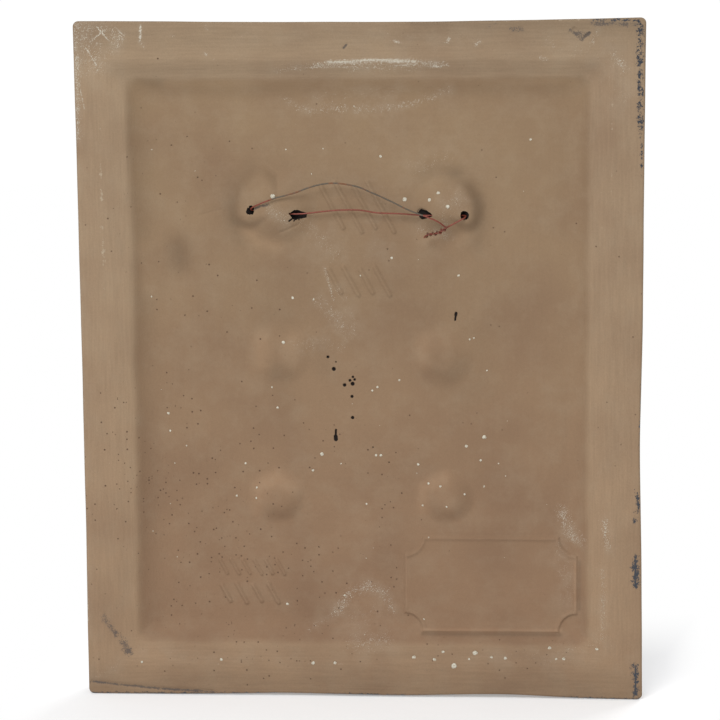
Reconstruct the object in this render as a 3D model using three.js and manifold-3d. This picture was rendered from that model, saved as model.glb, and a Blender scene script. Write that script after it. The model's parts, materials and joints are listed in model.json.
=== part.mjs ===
// Decorative wall plaque: a pressed stoneware slab with a recessed back, six bosses, a blank
// raised cartouche, a relief of rosettes on the front, and a loop of hanging wire.
//
// Millimetres, +Z up. X runs to the right as seen from the decorated front, and Y runs from the
// front (-Y) to the wall (+Y). The origin is where a nail takes the hanging wire.

import * as THREE from 'three';
import { mergeVertices } from 'three/addons/utils/BufferGeometryUtils.js';
import Module from 'manifold-3d';

const wasm = await Module();
wasm.setup();

// ---------------------------------------------------------------- driving dimensions

const WIDTH = 300;
const HEIGHT = 364;
const THICKNESS = 20;
const CENTRE_Z = -93.6; // middle of the slab, below the hanging point
const BACK_Y = 3; // the rim's plane, which meets the wall

const SLAB = {
  cornerRadius: 3,
  bow: { top: 0.9, bottom: 1.7, left: 1.5, right: 0.5 }, // sides pulled in by firing
  draft: 3, // the front is smaller than the back by this much on each side
  backRound: 1.5,
  frontRound: 2.5,
};

const RECESS = {
  width: 270,
  height: 325.8,
  shiftX: 2.7,
  shiftZ: -1.3,
  depth: 9,
  cornerRadius: 6,
  bow: { top: 0.7, bottom: 0.7, left: 0.7, right: 0.7 },
};

const FIELD = {
  width: 250,
  height: 314,
  depth: 3,
  slope: 4,
  cornerRadius: 8,
  bow: { top: 0.7, bottom: 0.7, left: 0.7, right: 0.7 },
};

const BOSS_KINDS = {
  wired: { radius: 18, height: 7, shoulder: 2.2 },
  middle: { radius: 17.5, height: 5, shoulder: 1.6 },
  low: { radius: 15.5, height: 5, shoulder: 1.6 },
};

// Bosses on the back: x and z measured from the middle of the slab.
const BOSSES = [
  { kind: 'wired', x: 46.5, z: 83.3 },
  { kind: 'wired', x: -45.9, z: 82.1 },
  { kind: 'middle', x: 44, z: 4.2 },
  { kind: 'middle', x: -43.3, z: 2.8 },
  { kind: 'low', x: 46.1, z: -73.3 },
  { kind: 'low', x: -45.1, z: -73.3 },
];

// Wire tunnels through the two top bosses, from mouth to mouth.
const TUNNEL = { radius: 2.4, height: 3.5, overrun: 5 };
const TUNNEL_MOUTHS = [
  { outer: { x: 58.2, z: 81.6 }, inner: { x: 33.4, z: 79.4 } },
  { outer: { x: -56.9, z: 78.4 }, inner: { x: -33.1, z: 78.8 } },
];

const CARTOUCHE = { width: 93.4, height: 50.6, x: -68.6, z: -121.9, notch: 11, ridge: 2, relief: 0.6 };

const ROSETTE = { radius: 40, waist: 29, button: 10, relief: 2.4, petals: 6 };
const ROSETTE_PITCH = { x: 124, z: 101 };
const ROSETTE_ROWS = 3;

const WIRE_DIAMETER = 0.8;
const TWIST_DIAMETER = 1.8;

const SINK = 1; // how far an added form reaches into the clay behind it
const CLEAR = 3; // how far a cutter reaches past the face it opens
const ARC_SEGMENTS = 5;

// ---------------------------------------------------------------- finishes

const CLAY = new THREE.MeshStandardMaterial({ name: 'clay', color: 0x97806a, roughness: 0.85, metalness: 0 });
const ENAMELLED_WIRE = new THREE.MeshStandardMaterial({
  name: 'enamelled_wire',
  color: 0x7c3a2c,
  roughness: 0.4,
  metalness: 0.6,
});

// ---------------------------------------------------------------- solids

/** A closed three.js geometry as a solid that can be joined and cut. */
function solidOf(geometry) {
  geometry.deleteAttribute('normal');
  geometry.deleteAttribute('uv');
  const merged = mergeVertices(geometry, 1e-4);
  return new wasm.Manifold(
    new wasm.Mesh({
      numProp: 3,
      vertProperties: new Float32Array(merged.attributes.position.array),
      triVerts: new Uint32Array(merged.index.array),
    }),
  );
}

/** A solid back as a named mesh with flat-shaded faces. */
function meshOf(name, solid, material) {
  const { vertProperties, triVerts } = solid.getMesh();
  const geometry = new THREE.BufferGeometry();
  geometry.setAttribute('position', new THREE.BufferAttribute(new Float32Array(vertProperties), 3));
  geometry.setIndex(new THREE.BufferAttribute(new Uint32Array(triVerts), 1));
  const mesh = new THREE.Mesh(geometry.toNonIndexed(), material);
  mesh.geometry.computeVertexNormals();
  mesh.name = name;
  return mesh;
}

/** Moves every vertex of a geometry to where place(x, y, z) puts it. */
function reshape(geometry, place) {
  const position = geometry.attributes.position;
  for (let i = 0; i < position.count; i++) {
    position.setXYZ(i, ...place(position.getX(i), position.getY(i), position.getZ(i)));
  }
  return geometry;
}

// ---------------------------------------------------------------- slab and its cutters

/** A rectangle with rounded corners whose sides bow inwards. */
function bowedRectangle({ width, height, cornerRadius: r, bow }) {
  const x = width / 2;
  const y = height / 2;
  const shape = new THREE.Shape();
  shape.moveTo(-x + r, -y);
  shape.quadraticCurveTo(0, -y + 2 * bow.bottom, x - r, -y);
  shape.absarc(x - r, -y + r, r, -Math.PI / 2, 0);
  shape.quadraticCurveTo(x - 2 * bow.right, 0, x, y - r);
  shape.absarc(x - r, y - r, r, 0, Math.PI / 2);
  shape.quadraticCurveTo(0, y - 2 * bow.top, -x + r, y);
  shape.absarc(-x + r, y - r, r, Math.PI / 2, Math.PI);
  shape.quadraticCurveTo(-x + 2 * bow.left, 0, -x, -y + r);
  shape.absarc(-x + r, -y + r, r, Math.PI, 1.5 * Math.PI);
  return shape;
}

/**
 * A rectangular block lying in the plaque's plane. Its profile is a list of [depth, inset]
 * stations from the rim's plane towards the front: at each depth the sides are moved in.
 */
function profiledBlock(outline, profile, shiftX = 0, shiftZ = 0) {
  const steps = profile.length - 1;
  const geometry = new THREE.ExtrudeGeometry(bowedRectangle(outline), {
    depth: steps,
    steps,
    bevelEnabled: false,
    curveSegments: ARC_SEGMENTS,
  });
  const coreX = outline.width / 2 - outline.cornerRadius;
  const coreY = outline.height / 2 - outline.cornerRadius;
  const movedIn = (value, core, inset) => {
    const held = THREE.MathUtils.clamp(value, -core, core);
    return (held * (core - inset)) / core + value - held;
  };
  reshape(geometry, (x, y, station) => {
    const [depth, inset] = profile[Math.round(station)];
    return [
      movedIn(x, coreX, inset) + shiftX,
      BACK_Y - depth,
      movedIn(y, coreY, inset) + CENTRE_Z + shiftZ,
    ];
  });
  return solidOf(geometry);
}

/** The slab before its recess and relief: rounded edges, and sides drawn in towards the front. */
function slab() {
  const { backRound, frontRound, draft } = SLAB;
  const profile = [
    [0, backRound],
    [0.3 * backRound, 0.3 * backRound],
    [backRound, 0],
    [THICKNESS - frontRound, draft],
    [THICKNESS - 0.3 * frontRound, draft + 0.3 * frontRound],
    [THICKNESS, draft + frontRound],
  ];
  return profiledBlock({ width: WIDTH, height: HEIGHT, ...SLAB }, profile);
}

/** What the press leaves empty behind the panel: sloping band, arris, steep side, round foot. */
function recessCutter() {
  const { depth } = RECESS;
  const profile = [
    [-CLEAR, -CLEAR - 2],
    [0, 0],
    [0.29 * depth, 10.2],
    [0.4 * depth, 11.5],
    [0.82 * depth, 13.6],
    [0.95 * depth, 15.4],
    [depth, 19],
  ];
  return profiledBlock(RECESS, profile, RECESS.shiftX, RECESS.shiftZ);
}

/** What lowers the front's field below its plain border. */
function fieldCutter() {
  const floor = THICKNESS - FIELD.depth;
  const profile = [
    [floor, FIELD.slope],
    [floor + 0.25 * FIELD.depth, 0.4 * FIELD.slope],
    [THICKNESS, 0],
    [THICKNESS + CLEAR, -CLEAR],
  ];
  return profiledBlock(FIELD, profile);
}

// ---------------------------------------------------------------- bosses and tunnels

const BOSS_SEGMENTS = 16;
const BOSS_RINGS = 6;
const FOOT_DIP = 0.1; // keeps a form's foot just under the face that it stands on

/** Height of a boss above the panel at a distance from its middle. */
function bossHeight({ radius, height, shoulder }, distance) {
  const share = Math.min(1, distance / radius) ** shoulder;
  return height * Math.cos((share * Math.PI) / 2) ** 2;
}

/** One round boss standing on the panel. */
function boss({ kind, x, z }) {
  const size = BOSS_KINDS[kind];
  const profile = [new THREE.Vector2(0, -SINK), new THREE.Vector2(size.radius, -SINK)];
  for (let ring = BOSS_RINGS; ring >= 0; ring--) {
    const distance = (size.radius * ring) / BOSS_RINGS;
    profile.push(new THREE.Vector2(distance, bossHeight(size, distance) - FOOT_DIP));
  }
  const geometry = new THREE.LatheGeometry(profile, BOSS_SEGMENTS);
  geometry.translate(x, BACK_Y - RECESS.depth, CENTRE_Z + z);
  return solidOf(geometry);
}

/** The hole that the wire is threaded through, from one flank of a top boss to the other. */
function tunnel({ outer, inner }) {
  const dx = outer.x - inner.x;
  const dz = outer.z - inner.z;
  const length = Math.hypot(dx, dz) + 2 * TUNNEL.overrun;
  const geometry = new THREE.CylinderGeometry(TUNNEL.radius, TUNNEL.radius, length, 12);
  geometry.rotateZ(Math.PI / 2);
  geometry.rotateY(-Math.atan2(dz, dx));
  geometry.translate(
    (outer.x + inner.x) / 2,
    BACK_Y - RECESS.depth + TUNNEL.height,
    CENTRE_Z + (outer.z + inner.z) / 2,
  );
  return solidOf(geometry);
}

// ---------------------------------------------------------------- cartouche

/** A rectangle whose corners are cut back by quarter circles. */
function notchedRectangle(PathKind, width, height, notch) {
  const x = width / 2;
  const y = height / 2;
  const path = new PathKind();
  path.moveTo(-x + notch, -y);
  path.lineTo(x - notch, -y);
  path.absarc(x, -y, notch, Math.PI, Math.PI / 2, true);
  path.lineTo(x, y - notch);
  path.absarc(x, y, notch, 1.5 * Math.PI, Math.PI, true);
  path.lineTo(-x + notch, y);
  path.absarc(-x, y, notch, 0, -Math.PI / 2, true);
  path.lineTo(-x, -y + notch);
  path.absarc(-x, -y, notch, Math.PI / 2, 0, true);
  return path;
}

/** The raised outline of the blank cartouche on the panel. */
function cartouche() {
  const { width, height, x, z, notch, ridge, relief } = CARTOUCHE;
  const shape = notchedRectangle(THREE.Shape, width, height, notch);
  shape.holes.push(notchedRectangle(THREE.Path, width - 2 * ridge, height - 2 * ridge, notch));
  const geometry = new THREE.ExtrudeGeometry(shape, {
    depth: relief + SINK,
    bevelEnabled: false,
    curveSegments: ARC_SEGMENTS,
  });
  geometry.rotateX(Math.PI / 2);
  geometry.translate(x, BACK_Y - RECESS.depth + relief, CENTRE_Z + z);
  return solidOf(geometry);
}

// ---------------------------------------------------------------- front relief

const SEGMENTS_PER_PETAL = 4;

// Stations of a rosette from its foot to its middle: how far out from the button's edge
// towards the petal's tip, and how high.
const PETAL_STATIONS = [
  { out: 1, rise: 0 },
  { out: 0.93, rise: 0.6 },
  { out: 0.65, rise: 1 },
  { out: 0.25, rise: 0.8 },
  { out: 0, rise: 0.3 },
];
const BUTTON_STATIONS = [
  { share: 0.75, rise: 1 },
  { share: 0, rise: 1.2 },
];

/** Distance from the middle of a rosette to its outline, at an angle round it. */
function rosetteEdge(angle) {
  const { radius, waist, petals } = ROSETTE;
  return waist + (radius - waist) * Math.abs(Math.cos((petals * angle) / 2));
}

/** One rosette on the front's field, its petals and button turned as one form. */
function rosette(x, z) {
  const { button, relief, petals } = ROSETTE;
  const stations = [
    ...PETAL_STATIONS.map(({ out, rise }) => (angle) => {
      const lobe = 0.45 + 0.55 * Math.abs(Math.cos((petals * angle) / 2));
      return [button + out * (rosetteEdge(angle) - button), relief * rise * lobe - FOOT_DIP];
    }),
    ...BUTTON_STATIONS.map(({ share, rise }) => () => [button * share, relief * rise]),
  ];
  const profile = stations.map((_, index) => new THREE.Vector2(stations.length - 1 - index, index + 1));
  profile.unshift(new THREE.Vector2(stations.length - 1, 0));
  profile.unshift(new THREE.Vector2(0, 0));
  const geometry = new THREE.LatheGeometry(profile, petals * SEGMENTS_PER_PETAL);
  reshape(geometry, (vx, level, vz) => {
    const angle = Math.atan2(vz, vx);
    const index = Math.max(0, Math.round(level) - 1);
    const [reach, rise] = stations[index](angle);
    const distance = Math.hypot(vx, vz) < 0.5 ? 0 : reach;
    const height = Math.round(level) === 0 ? -SINK : rise;
    return [distance * Math.cos(angle), height, distance * Math.sin(angle)];
  });
  geometry.rotateX(Math.PI);
  geometry.translate(x, BACK_Y - THICKNESS + FIELD.depth, CENTRE_Z + z);
  return solidOf(geometry);
}

/** The rosettes in their two columns. */
function rosettes() {
  const solids = [];
  for (let row = 0; row < ROSETTE_ROWS; row++) {
    const z = (row - (ROSETTE_ROWS - 1) / 2) * ROSETTE_PITCH.z;
    for (const side of [-1, 1]) {
      solids.push(rosette((side * ROSETTE_PITCH.x) / 2, z));
    }
  }
  return solids;
}

// ---------------------------------------------------------------- plaque

/** The whole slab as one piece of clay. */
function plaque() {
  const added = [...BOSSES.map(boss), cartouche(), ...rosettes()];
  const blank = slab().subtract(recessCutter()).subtract(fieldCutter());
  const raised = added.reduce((body, form) => body.add(form), blank);
  const pierced = TUNNEL_MOUTHS.reduce((body, mouths) => body.subtract(tunnel(mouths)), raised);
  return meshOf('plaque', pierced, CLAY);
}

// ---------------------------------------------------------------- hanging wire

const WIRE_SIDES = 8;

// The wire's route, from where its ends are twisted, through the right-hand boss (seen from
// behind), along the lower run, through the left-hand boss and back along the upper run, which
// a nail takes at its middle.
const WIRE_ROUTE = [
  [-46.1, 1.8, -20.8],
  [-50.0, 1.9, -18.7],
  [-53.5, 1.6, -17.6],
  [-57.6, 0.2, -16.4],
  [-60.6, -1.6, -15.6],
  [-60.2, -2.7, -15.2],
  [-57.0, -2.6, -15.2],
  [-50.0, -2.5, -15.2],
  [-40.0, -2.5, -14.9],
  [-33.0, -2.4, -14.7],
  [-21.0, -2.0, -13.8],
  [-9.1, -2.0, -13.3],
  [0.1, -2.0, -11.9],
  [11.6, -2.0, -11.9],
  [20.4, -2.1, -12.7],
  [30.6, -2.4, -13.8],
  [38.0, -2.5, -13.8],
  [48.0, -2.5, -12.8],
  [56.0, -2.6, -12.1],
  [60.8, -2.6, -11.6],
  [62.4, -1.6, -11.1],
  [61.2, -0.3, -10.4],
  [57.8, 1.1, -9.0],
  [53.5, 2.0, -7.6],
  [49.0, 2.2, -6.4],
  [44.0, 2.2, -4.9],
  [38.5, 1.8, -3.6],
  [33.0, 1.2, -2.0],
  [27.0, 0.6, 0.2],
  [20.1, 0.1, 2.0],
  [13.5, 0, 2.6],
  [7.2, 0, 2.0],
  [0, 0, 0.4],
  [-5.5, 0, -2.0],
  [-11.5, 0, -4.6],
  [-17.9, 0.2, -7.6],
  [-24.5, 0.7, -10.9],
  [-30.1, 1.2, -13.2],
  [-35.8, 1.8, -15.2],
  [-41.5, 2.2, -17.6],
  [-45.8, 1.9, -20.8],
];

// The twisted ends, from the pair's start to the cut tips.
const TWIST_ROUTE = [
  [-46.9, 1.9, -20.2],
  [-45.2, 1.8, -21.4],
  [-42.4, 1.5, -23.2],
  [-39.5, 1.1, -24.1],
  [-36.6, 0.7, -24.5],
  [-33.9, 0.2, -26.2],
];

/** A round tube along a smooth curve through the points of a route. */
function tube(route, diameter, steps) {
  const curve = new THREE.CatmullRomCurve3(
    route.map((point) => new THREE.Vector3(...point)),
    false,
    'centripetal',
  );
  const section = new THREE.Shape();
  for (let side = 0; side <= WIRE_SIDES; side++) {
    const angle = (side * 2 * Math.PI) / WIRE_SIDES;
    const corner = [(Math.cos(angle) * diameter) / 2, (Math.sin(angle) * diameter) / 2];
    if (side === 0) section.moveTo(...corner);
    else section.lineTo(...corner);
  }
  return solidOf(new THREE.ExtrudeGeometry(section, { steps, extrudePath: curve, bevelEnabled: false }));
}

/** The loop of wire with its two ends twisted together. */
function hangingWire() {
  const loop = tube(WIRE_ROUTE, WIRE_DIAMETER, 80);
  const twist = tube(TWIST_ROUTE, TWIST_DIAMETER, 10);
  return meshOf('hanging_wire', loop.add(twist), ENAMELLED_WIRE);
}

// ---------------------------------------------------------------- the object

const group = new THREE.Group();
group.name = 'wall_plaque';
group.add(plaque());
group.add(hangingWire());

export default group;
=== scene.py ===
"""Decorative wall plaque: a pressed stoneware slab, seen from behind, with its hanging wire.

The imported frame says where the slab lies. Sizes in the classes are millimetres on the slab's own
coordinates: x to the right as seen from the decorated front, z up from the slab's middle, and
depth from the rim's plane, which meets the wall, towards the front. Finished meshes are in metres.
"""

from __future__ import annotations

import json
import logging
import math
from dataclasses import dataclass, field, replace
from enum import Enum
from typing import Any, Callable, Sequence, Union

import bpy
import numpy as np
from mathutils import Matrix, Vector

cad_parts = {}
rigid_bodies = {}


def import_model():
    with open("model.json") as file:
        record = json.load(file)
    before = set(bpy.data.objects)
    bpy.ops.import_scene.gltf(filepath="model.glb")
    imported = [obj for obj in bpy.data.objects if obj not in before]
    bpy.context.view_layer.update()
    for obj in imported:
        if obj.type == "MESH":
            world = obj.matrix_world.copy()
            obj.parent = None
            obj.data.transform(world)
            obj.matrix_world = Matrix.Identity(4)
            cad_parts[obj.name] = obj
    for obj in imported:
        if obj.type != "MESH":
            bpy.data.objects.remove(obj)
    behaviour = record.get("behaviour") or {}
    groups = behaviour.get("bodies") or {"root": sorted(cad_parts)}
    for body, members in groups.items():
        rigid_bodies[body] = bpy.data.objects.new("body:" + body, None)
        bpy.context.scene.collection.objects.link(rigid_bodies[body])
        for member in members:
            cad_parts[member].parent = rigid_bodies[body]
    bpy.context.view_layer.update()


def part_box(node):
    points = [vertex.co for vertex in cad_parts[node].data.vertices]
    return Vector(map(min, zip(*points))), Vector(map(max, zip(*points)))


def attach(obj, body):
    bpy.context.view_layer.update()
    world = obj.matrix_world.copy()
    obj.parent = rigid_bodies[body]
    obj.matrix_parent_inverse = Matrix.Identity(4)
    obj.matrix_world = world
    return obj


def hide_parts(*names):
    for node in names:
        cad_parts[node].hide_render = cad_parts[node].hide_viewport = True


LOG = logging.getLogger("wall_plaque")

MM = 0.001
ROOT = "root"

Array = np.ndarray
Pair = tuple[float, float]
Triple = tuple[float, float, float]
Point = Pair
Colour = tuple[float, float, float, float]


class Slot(Enum):
    """The record's material slots."""

    CLAY = "clay"
    WIRE = "enamelled_wire"


class Side(Enum):
    """Which part of the slab's skin some vertices belong to."""

    BACK = "back and sides"
    FRONT = "front"


def srgb(red: int, green: int, blue: int) -> Colour:
    """Turns a display colour from 0 to 255 into a linear one.

    Args:
        red: Red as shown.
        green: Green as shown.
        blue: Blue as shown.

    Returns:
        The linear colour with an alpha of 1.
    """
    shares = (channel / 255 for channel in (red, green, blue))
    linear = [s / 12.92 if s <= 0.04045 else ((s + 0.055) / 1.055) ** 2.4 for s in shares]
    return (linear[0], linear[1], linear[2], 1.0)


def smoothstep(value: Array, low: float = 0.0, high: float = 1.0) -> Array:
    """Rises smoothly from 0 at low to 1 at high."""
    share = np.clip((value - low) / (high - low), 0, 1)
    return share * share * (3 - 2 * share)


def hinge(value: Array, softness: float) -> Array:
    """Is 0 well before zero and the value itself well after it, with a round bend between."""
    bend = np.clip(value + softness, 0, 2 * softness) ** 2 / (4 * softness)
    return bend + np.maximum(value - softness, 0)


# ------------------------------------------------------------------------------ datum


@dataclass(frozen=True)
class Datum:
    """Where the slab lies in the row's frame, in millimetres.

    Args:
        middle_x: Middle of the slab's width.
        middle_z: Middle of the slab's height.
        rim_y: The rim's plane, which meets the wall.
        width: Width at the back.
        height: Height at the back.
        thickness: From the rim's plane to the front border.
    """

    middle_x: float
    middle_z: float
    rim_y: float
    width: float
    height: float
    thickness: float

    @classmethod
    def of_frame(cls) -> "Datum":
        """Reads the slab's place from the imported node.

        Returns:
            The datum.
        """
        low, high = (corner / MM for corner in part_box("plaque"))
        size = high - low
        middle = (low + high) / 2
        return cls(middle.x, middle.z, high.y, size.x, size.z, size.y)

    def to_row(self, x: Array, z: Array, depth: Array) -> Array:
        """Turns slab coordinates into points of the row's frame, still in millimetres."""
        return np.stack([x + self.middle_x, self.rim_y - depth, z + self.middle_z], axis=-1)

    @property
    def floor_z(self) -> float:
        """Height of the slab's bottom edge, in metres."""
        return (self.middle_z - self.height / 2) * MM


# ------------------------------------------------------------------------------ marks and relief


@dataclass(frozen=True)
class Ripple:
    """Smooth unevenness made of a few seeded plane waves.

    Args:
        seed: Seed of the waves' directions and phases.
        wavelength: Typical length of a wave.
        height: Typical height of the unevenness.
        waves: Number of waves.
    """

    seed: int
    wavelength: float
    height: float
    waves: int = 9

    def at(self, x: Array, z: Array) -> Array:
        """The unevenness at each point, on both sides of zero.

        Args:
            x: Places across.
            z: Places upwards.

        Returns:
            The unevenness.
        """
        rng = np.random.default_rng(self.seed)
        total = np.zeros_like(x)
        for _ in range(self.waves):
            turn, phase = rng.uniform(0, 2 * math.pi, 2)
            number = 2 * math.pi / (self.wavelength * rng.uniform(0.7, 1.6))
            total += np.sin(number * (math.cos(turn) * x + math.sin(turn) * z) + phase)
        return total * self.height * math.sqrt(2 / self.waves) / 1.5


@dataclass(frozen=True)
class Stroke:
    """A soft mark along a broken line. A single point makes it a round spot.

    Args:
        points: Points of the line.
        width: Distance at which the mark has faded to about a third.
        strength: The mark's strength, or its height in millimetres.
        sharpness: 2 for a soft mark, more for one with a flat top and a steep edge.
    """

    points: tuple[Point, ...]
    width: float
    strength: float = 1.0
    sharpness: float = 2.0

    def window(self, x: Array, z: Array) -> Array:
        """Which points the mark can reach.

        Args:
            x: Places across.
            z: Places upwards.

        Returns:
            Whether each point is near enough.
        """
        reach = 2.6 * self.width
        xs, zs = zip(*self.points)
        across = (x > min(xs) - reach) & (x < max(xs) + reach)
        return across & (z > min(zs) - reach) & (z < max(zs) + reach)

    def values(self, x: Array, z: Array) -> Array:
        """The mark's strength at each point.

        Args:
            x: Places across.
            z: Places upwards.

        Returns:
            The strengths.
        """
        distance = np.full(x.shape, np.inf)
        for (ax, az), (bx, bz) in zip(self.points, self.points[1:] or self.points):
            run_x, run_z = bx - ax, bz - az
            length = max(run_x * run_x + run_z * run_z, 1e-9)
            share = np.clip(((x - ax) * run_x + (z - az) * run_z) / length, 0, 1)
            distance = np.minimum(distance, np.hypot(x - ax - share * run_x, z - az - share * run_z))
        return self.strength * np.exp(-((distance / self.width) ** self.sharpness))


Strokes = tuple[Stroke, ...]


def stroke_table(*rows: tuple[Any, ...]) -> Strokes:
    """Strokes from a table, in which each row holds one stroke's values."""
    return tuple(Stroke(*row) for row in rows)


def strongest(marks: Sequence[Stroke], x: Array, z: Array) -> Array:
    """The strongest of several marks at each point.

    Args:
        marks: The marks.
        x: Places across.
        z: Places upwards.

    Returns:
        The strengths.
    """
    total = np.zeros_like(x)
    for mark in marks:
        near = mark.window(x, z)
        total[near] = np.maximum(total[near], mark.values(x[near], z[near]))
    return total


def summed(marks: Sequence[Stroke], x: Array, z: Array) -> Array:
    """The sum of several marks, which may be negative, at each point.

    Args:
        marks: The marks.
        x: Places across.
        z: Places upwards.

    Returns:
        The sums.
    """
    total = np.zeros_like(x)
    for mark in marks:
        near = mark.window(x, z)
        total[near] += mark.values(x[near], z[near])
    return total


@dataclass(frozen=True)
class Sag:
    """A shallow dip in one side of an outline.

    Args:
        place: Where along the side it is deepest.
        width: Distance at which it has faded to about a third.
        depth: How far the side is pulled in there.
    """

    place: float
    width: float
    depth: float

    def at(self, along: Array) -> Array:
        """How far the side is pulled in at points along it."""
        return self.depth * np.exp(-(((along - self.place) / self.width) ** 2))


@dataclass(frozen=True)
class Recess:
    """The pressed-in back: a sloping band, an arris, a steeper side and a round foot.

    Args:
        width: Width from crease to crease.
        height: Height from crease to crease.
        shift_x: How far its middle lies from the slab's.
        shift_z: How far it lies above the slab's.
        depth: Depth of the panel below the rim's plane.
        corner_radius: Radius of its corners at every depth.
        bow: How far the middles of its sides are pulled in.
        high_x: Further dips of the side of positive x.
        band: Width of the sloping band.
        band_fall: The band's fall for each millimetre inwards.
        falls: The side's fall on the sides of high x, low x, and at top and bottom.
        foot: Softness of the round foot.
        creases: Softness of the crease and of the arris.
        easing_x: How much wider than drawn the sides of high and of low x run.
        easing_z: The same for the top and the bottom.
        mitre: Where one side's fall changes into the next one's in a corner.
        wander: Waver of the whole outline.
    """

    width: float = 267.4
    height: float = 325.8
    shift_x: float = 1.4
    shift_z: float = -1.3
    depth: float = 9.0
    corner_radius: float = 6.0
    bow: float = 0.7
    high_x: tuple[Sag, ...] = (Sag(-50, 150, 1.7), Sag(57, 28, 1.1))
    band: float = 10.3
    band_fall: float = 0.26
    falls: Triple = (1.2, 1.0, 0.62)
    foot: float = 5.5
    creases: Pair = (1.1, 1.3)
    easing_x: Pair = (1.08, 1.02)
    easing_z: Pair = (0.88, 0.95)
    mitre: Pair = (-9, 14)
    wander: Ripple = Ripple(seed=11, wavelength=34, height=0.28)

    def inset(self, x: Array, z: Array) -> Array:
        """Distance inwards from the crease, negative on the rim's land.

        Args:
            x: Places across.
            z: Places upwards.

        Returns:
            The distances.
        """
        half_x, half_z = self.width / 2, self.height / 2
        along_x, along_z = (x - self.shift_x) / half_x, (z - self.shift_z) / half_z
        from_x = half_x * (1 - np.abs(along_x)) - self.bow * (1 - np.minimum(1, along_z**2))
        from_z = half_z * (1 - np.abs(along_z)) - self.bow * (1 - np.minimum(1, along_x**2))
        from_x -= sum(sag.at(z) for sag in self.high_x) * smoothstep(along_x, 0.3, 0.8)
        from_x /= np.where(along_x > 0, *self.easing_x)
        from_z /= np.where(along_z > 0, *self.easing_z)
        r = self.corner_radius
        gap = np.minimum(np.abs(from_x - from_z), r)
        round_corner = (from_x + from_z - 2 * r + np.sqrt(2 * r * r - gap * gap)) / 2
        nearest = np.minimum(from_x, from_z)
        edge = np.where(np.abs(from_x - from_z) < r, round_corner, nearest)
        return edge + self.wander.at(x, z)

    def fall(self, x: Array, z: Array) -> Array:
        """The side's fall at each point, by the side that is nearest.

        Args:
            x: Places across.
            z: Places upwards.

        Returns:
            The fall for each millimetre inwards.
        """
        from_x = self.width / 2 - np.abs(x - self.shift_x)
        from_z = self.height / 2 - np.abs(z - self.shift_z)
        high, low, level = self.falls
        upright = np.where(x > 0, high, low)
        return level + (upright - level) * smoothstep(from_z - from_x, *self.mitre)

    def depth_at(self, inset: Array, fall: Array) -> Array:
        """Depth below the rim's plane.

        Args:
            inset: Distance inwards from the crease.
            fall: The side's fall there.

        Returns:
            The depth.
        """
        turn = fall - self.band_fall
        end = (self.depth + turn * self.band) / fall
        crease, arris = self.creases
        falling = self.band_fall * hinge(inset, crease) + turn * hinge(inset - self.band, arris)
        return falling - fall * hinge(inset - end, self.foot)


@dataclass(frozen=True)
class Boss:
    """A round boss on the panel, which may fall off in a short cliff on one side.

    Args:
        x: Place across.
        z: Place upwards.
        radius: Radius at its foot.
        height: Height above the panel.
        shoulder: How full the dome is.
        cliff_turn: Direction of the cliff, in degrees from +x.
        cliff_reach: How much further the foot reaches on that side.
        plateau: Share of the reach that stays level on that side, or 0 where it has no cliff.
        cliff_span: Cosines of the turn from the cliff's middle where it begins and is whole.
        cliff_foot: Softness of the cliff's foot, as a share of the reach.
    """

    x: float
    z: float
    radius: float
    height: float
    shoulder: float
    cliff_turn: float = 0.0
    cliff_reach: float = 0.0
    plateau: float = 0.0
    cliff_span: Pair = (0.4, 0.86)
    cliff_foot: float = 0.04

    def rise(self, x: Array, z: Array) -> Array:
        """Height above the panel at each point.

        Args:
            x: Places across.
            z: Places upwards.

        Returns:
            The heights.
        """
        dx, dz = x - self.x, z - self.z
        turn = np.arctan2(dz, dx) - math.radians(self.cliff_turn)
        lean = smoothstep(np.cos(turn), *self.cliff_span) * (self.plateau > 0)
        share = np.hypot(dx, dz) / (self.radius + self.cliff_reach * lean)
        dome = np.cos(np.minimum(1, share) ** self.shoulder * math.pi / 2) ** 2
        inward = hinge(1 - share, self.cliff_foot) / (1 - self.plateau)
        cliff = inward**2 / (1 + inward**8) ** 0.25
        return self.height * (dome * (1 - lean) + cliff * lean)


@dataclass(frozen=True)
class Cartouche:
    """The blank raised label place: a low plateau in a fine lip, its corners cut back round.

    Args:
        width: Width over the lip.
        height: Height over the lip.
        x: Place of its middle across.
        z: Place of its middle upwards.
        notch: Radius of the corner cuts.
        plateau: Height of the plateau.
        lip: Further height of the lip.
        lip_inset: Distance of the lip's crest from the outline.
        lip_width: Half width of the lip.
    """

    width: float = 93.4
    height: float = 52.6
    x: float = -68.6
    z: float = -120.9
    notch: float = 9.8
    plateau: float = 0.55
    lip: float = 0.7
    lip_inset: float = 1.3
    lip_width: float = 1.05

    def inset(self, x: Array, z: Array) -> Array:
        """Distance inwards from the outline.

        Args:
            x: Places across.
            z: Places upwards.

        Returns:
            The distances.
        """
        from_x = self.width / 2 - np.abs(x - self.x)
        from_z = self.height / 2 - np.abs(z - self.z)
        return np.minimum(np.minimum(from_x, from_z), np.hypot(from_x, from_z) - self.notch)

    def rise(self, x: Array, z: Array) -> Array:
        """Height above the panel at each point.

        Args:
            x: Places across.
            z: Places upwards.

        Returns:
            The heights.
        """
        inside = self.inset(x, z)
        lip = self.lip * np.exp(-(((inside - self.lip_inset) / self.lip_width) ** 2))
        return self.plateau * smoothstep(inside, -0.4, 0.9) + lip


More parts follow.
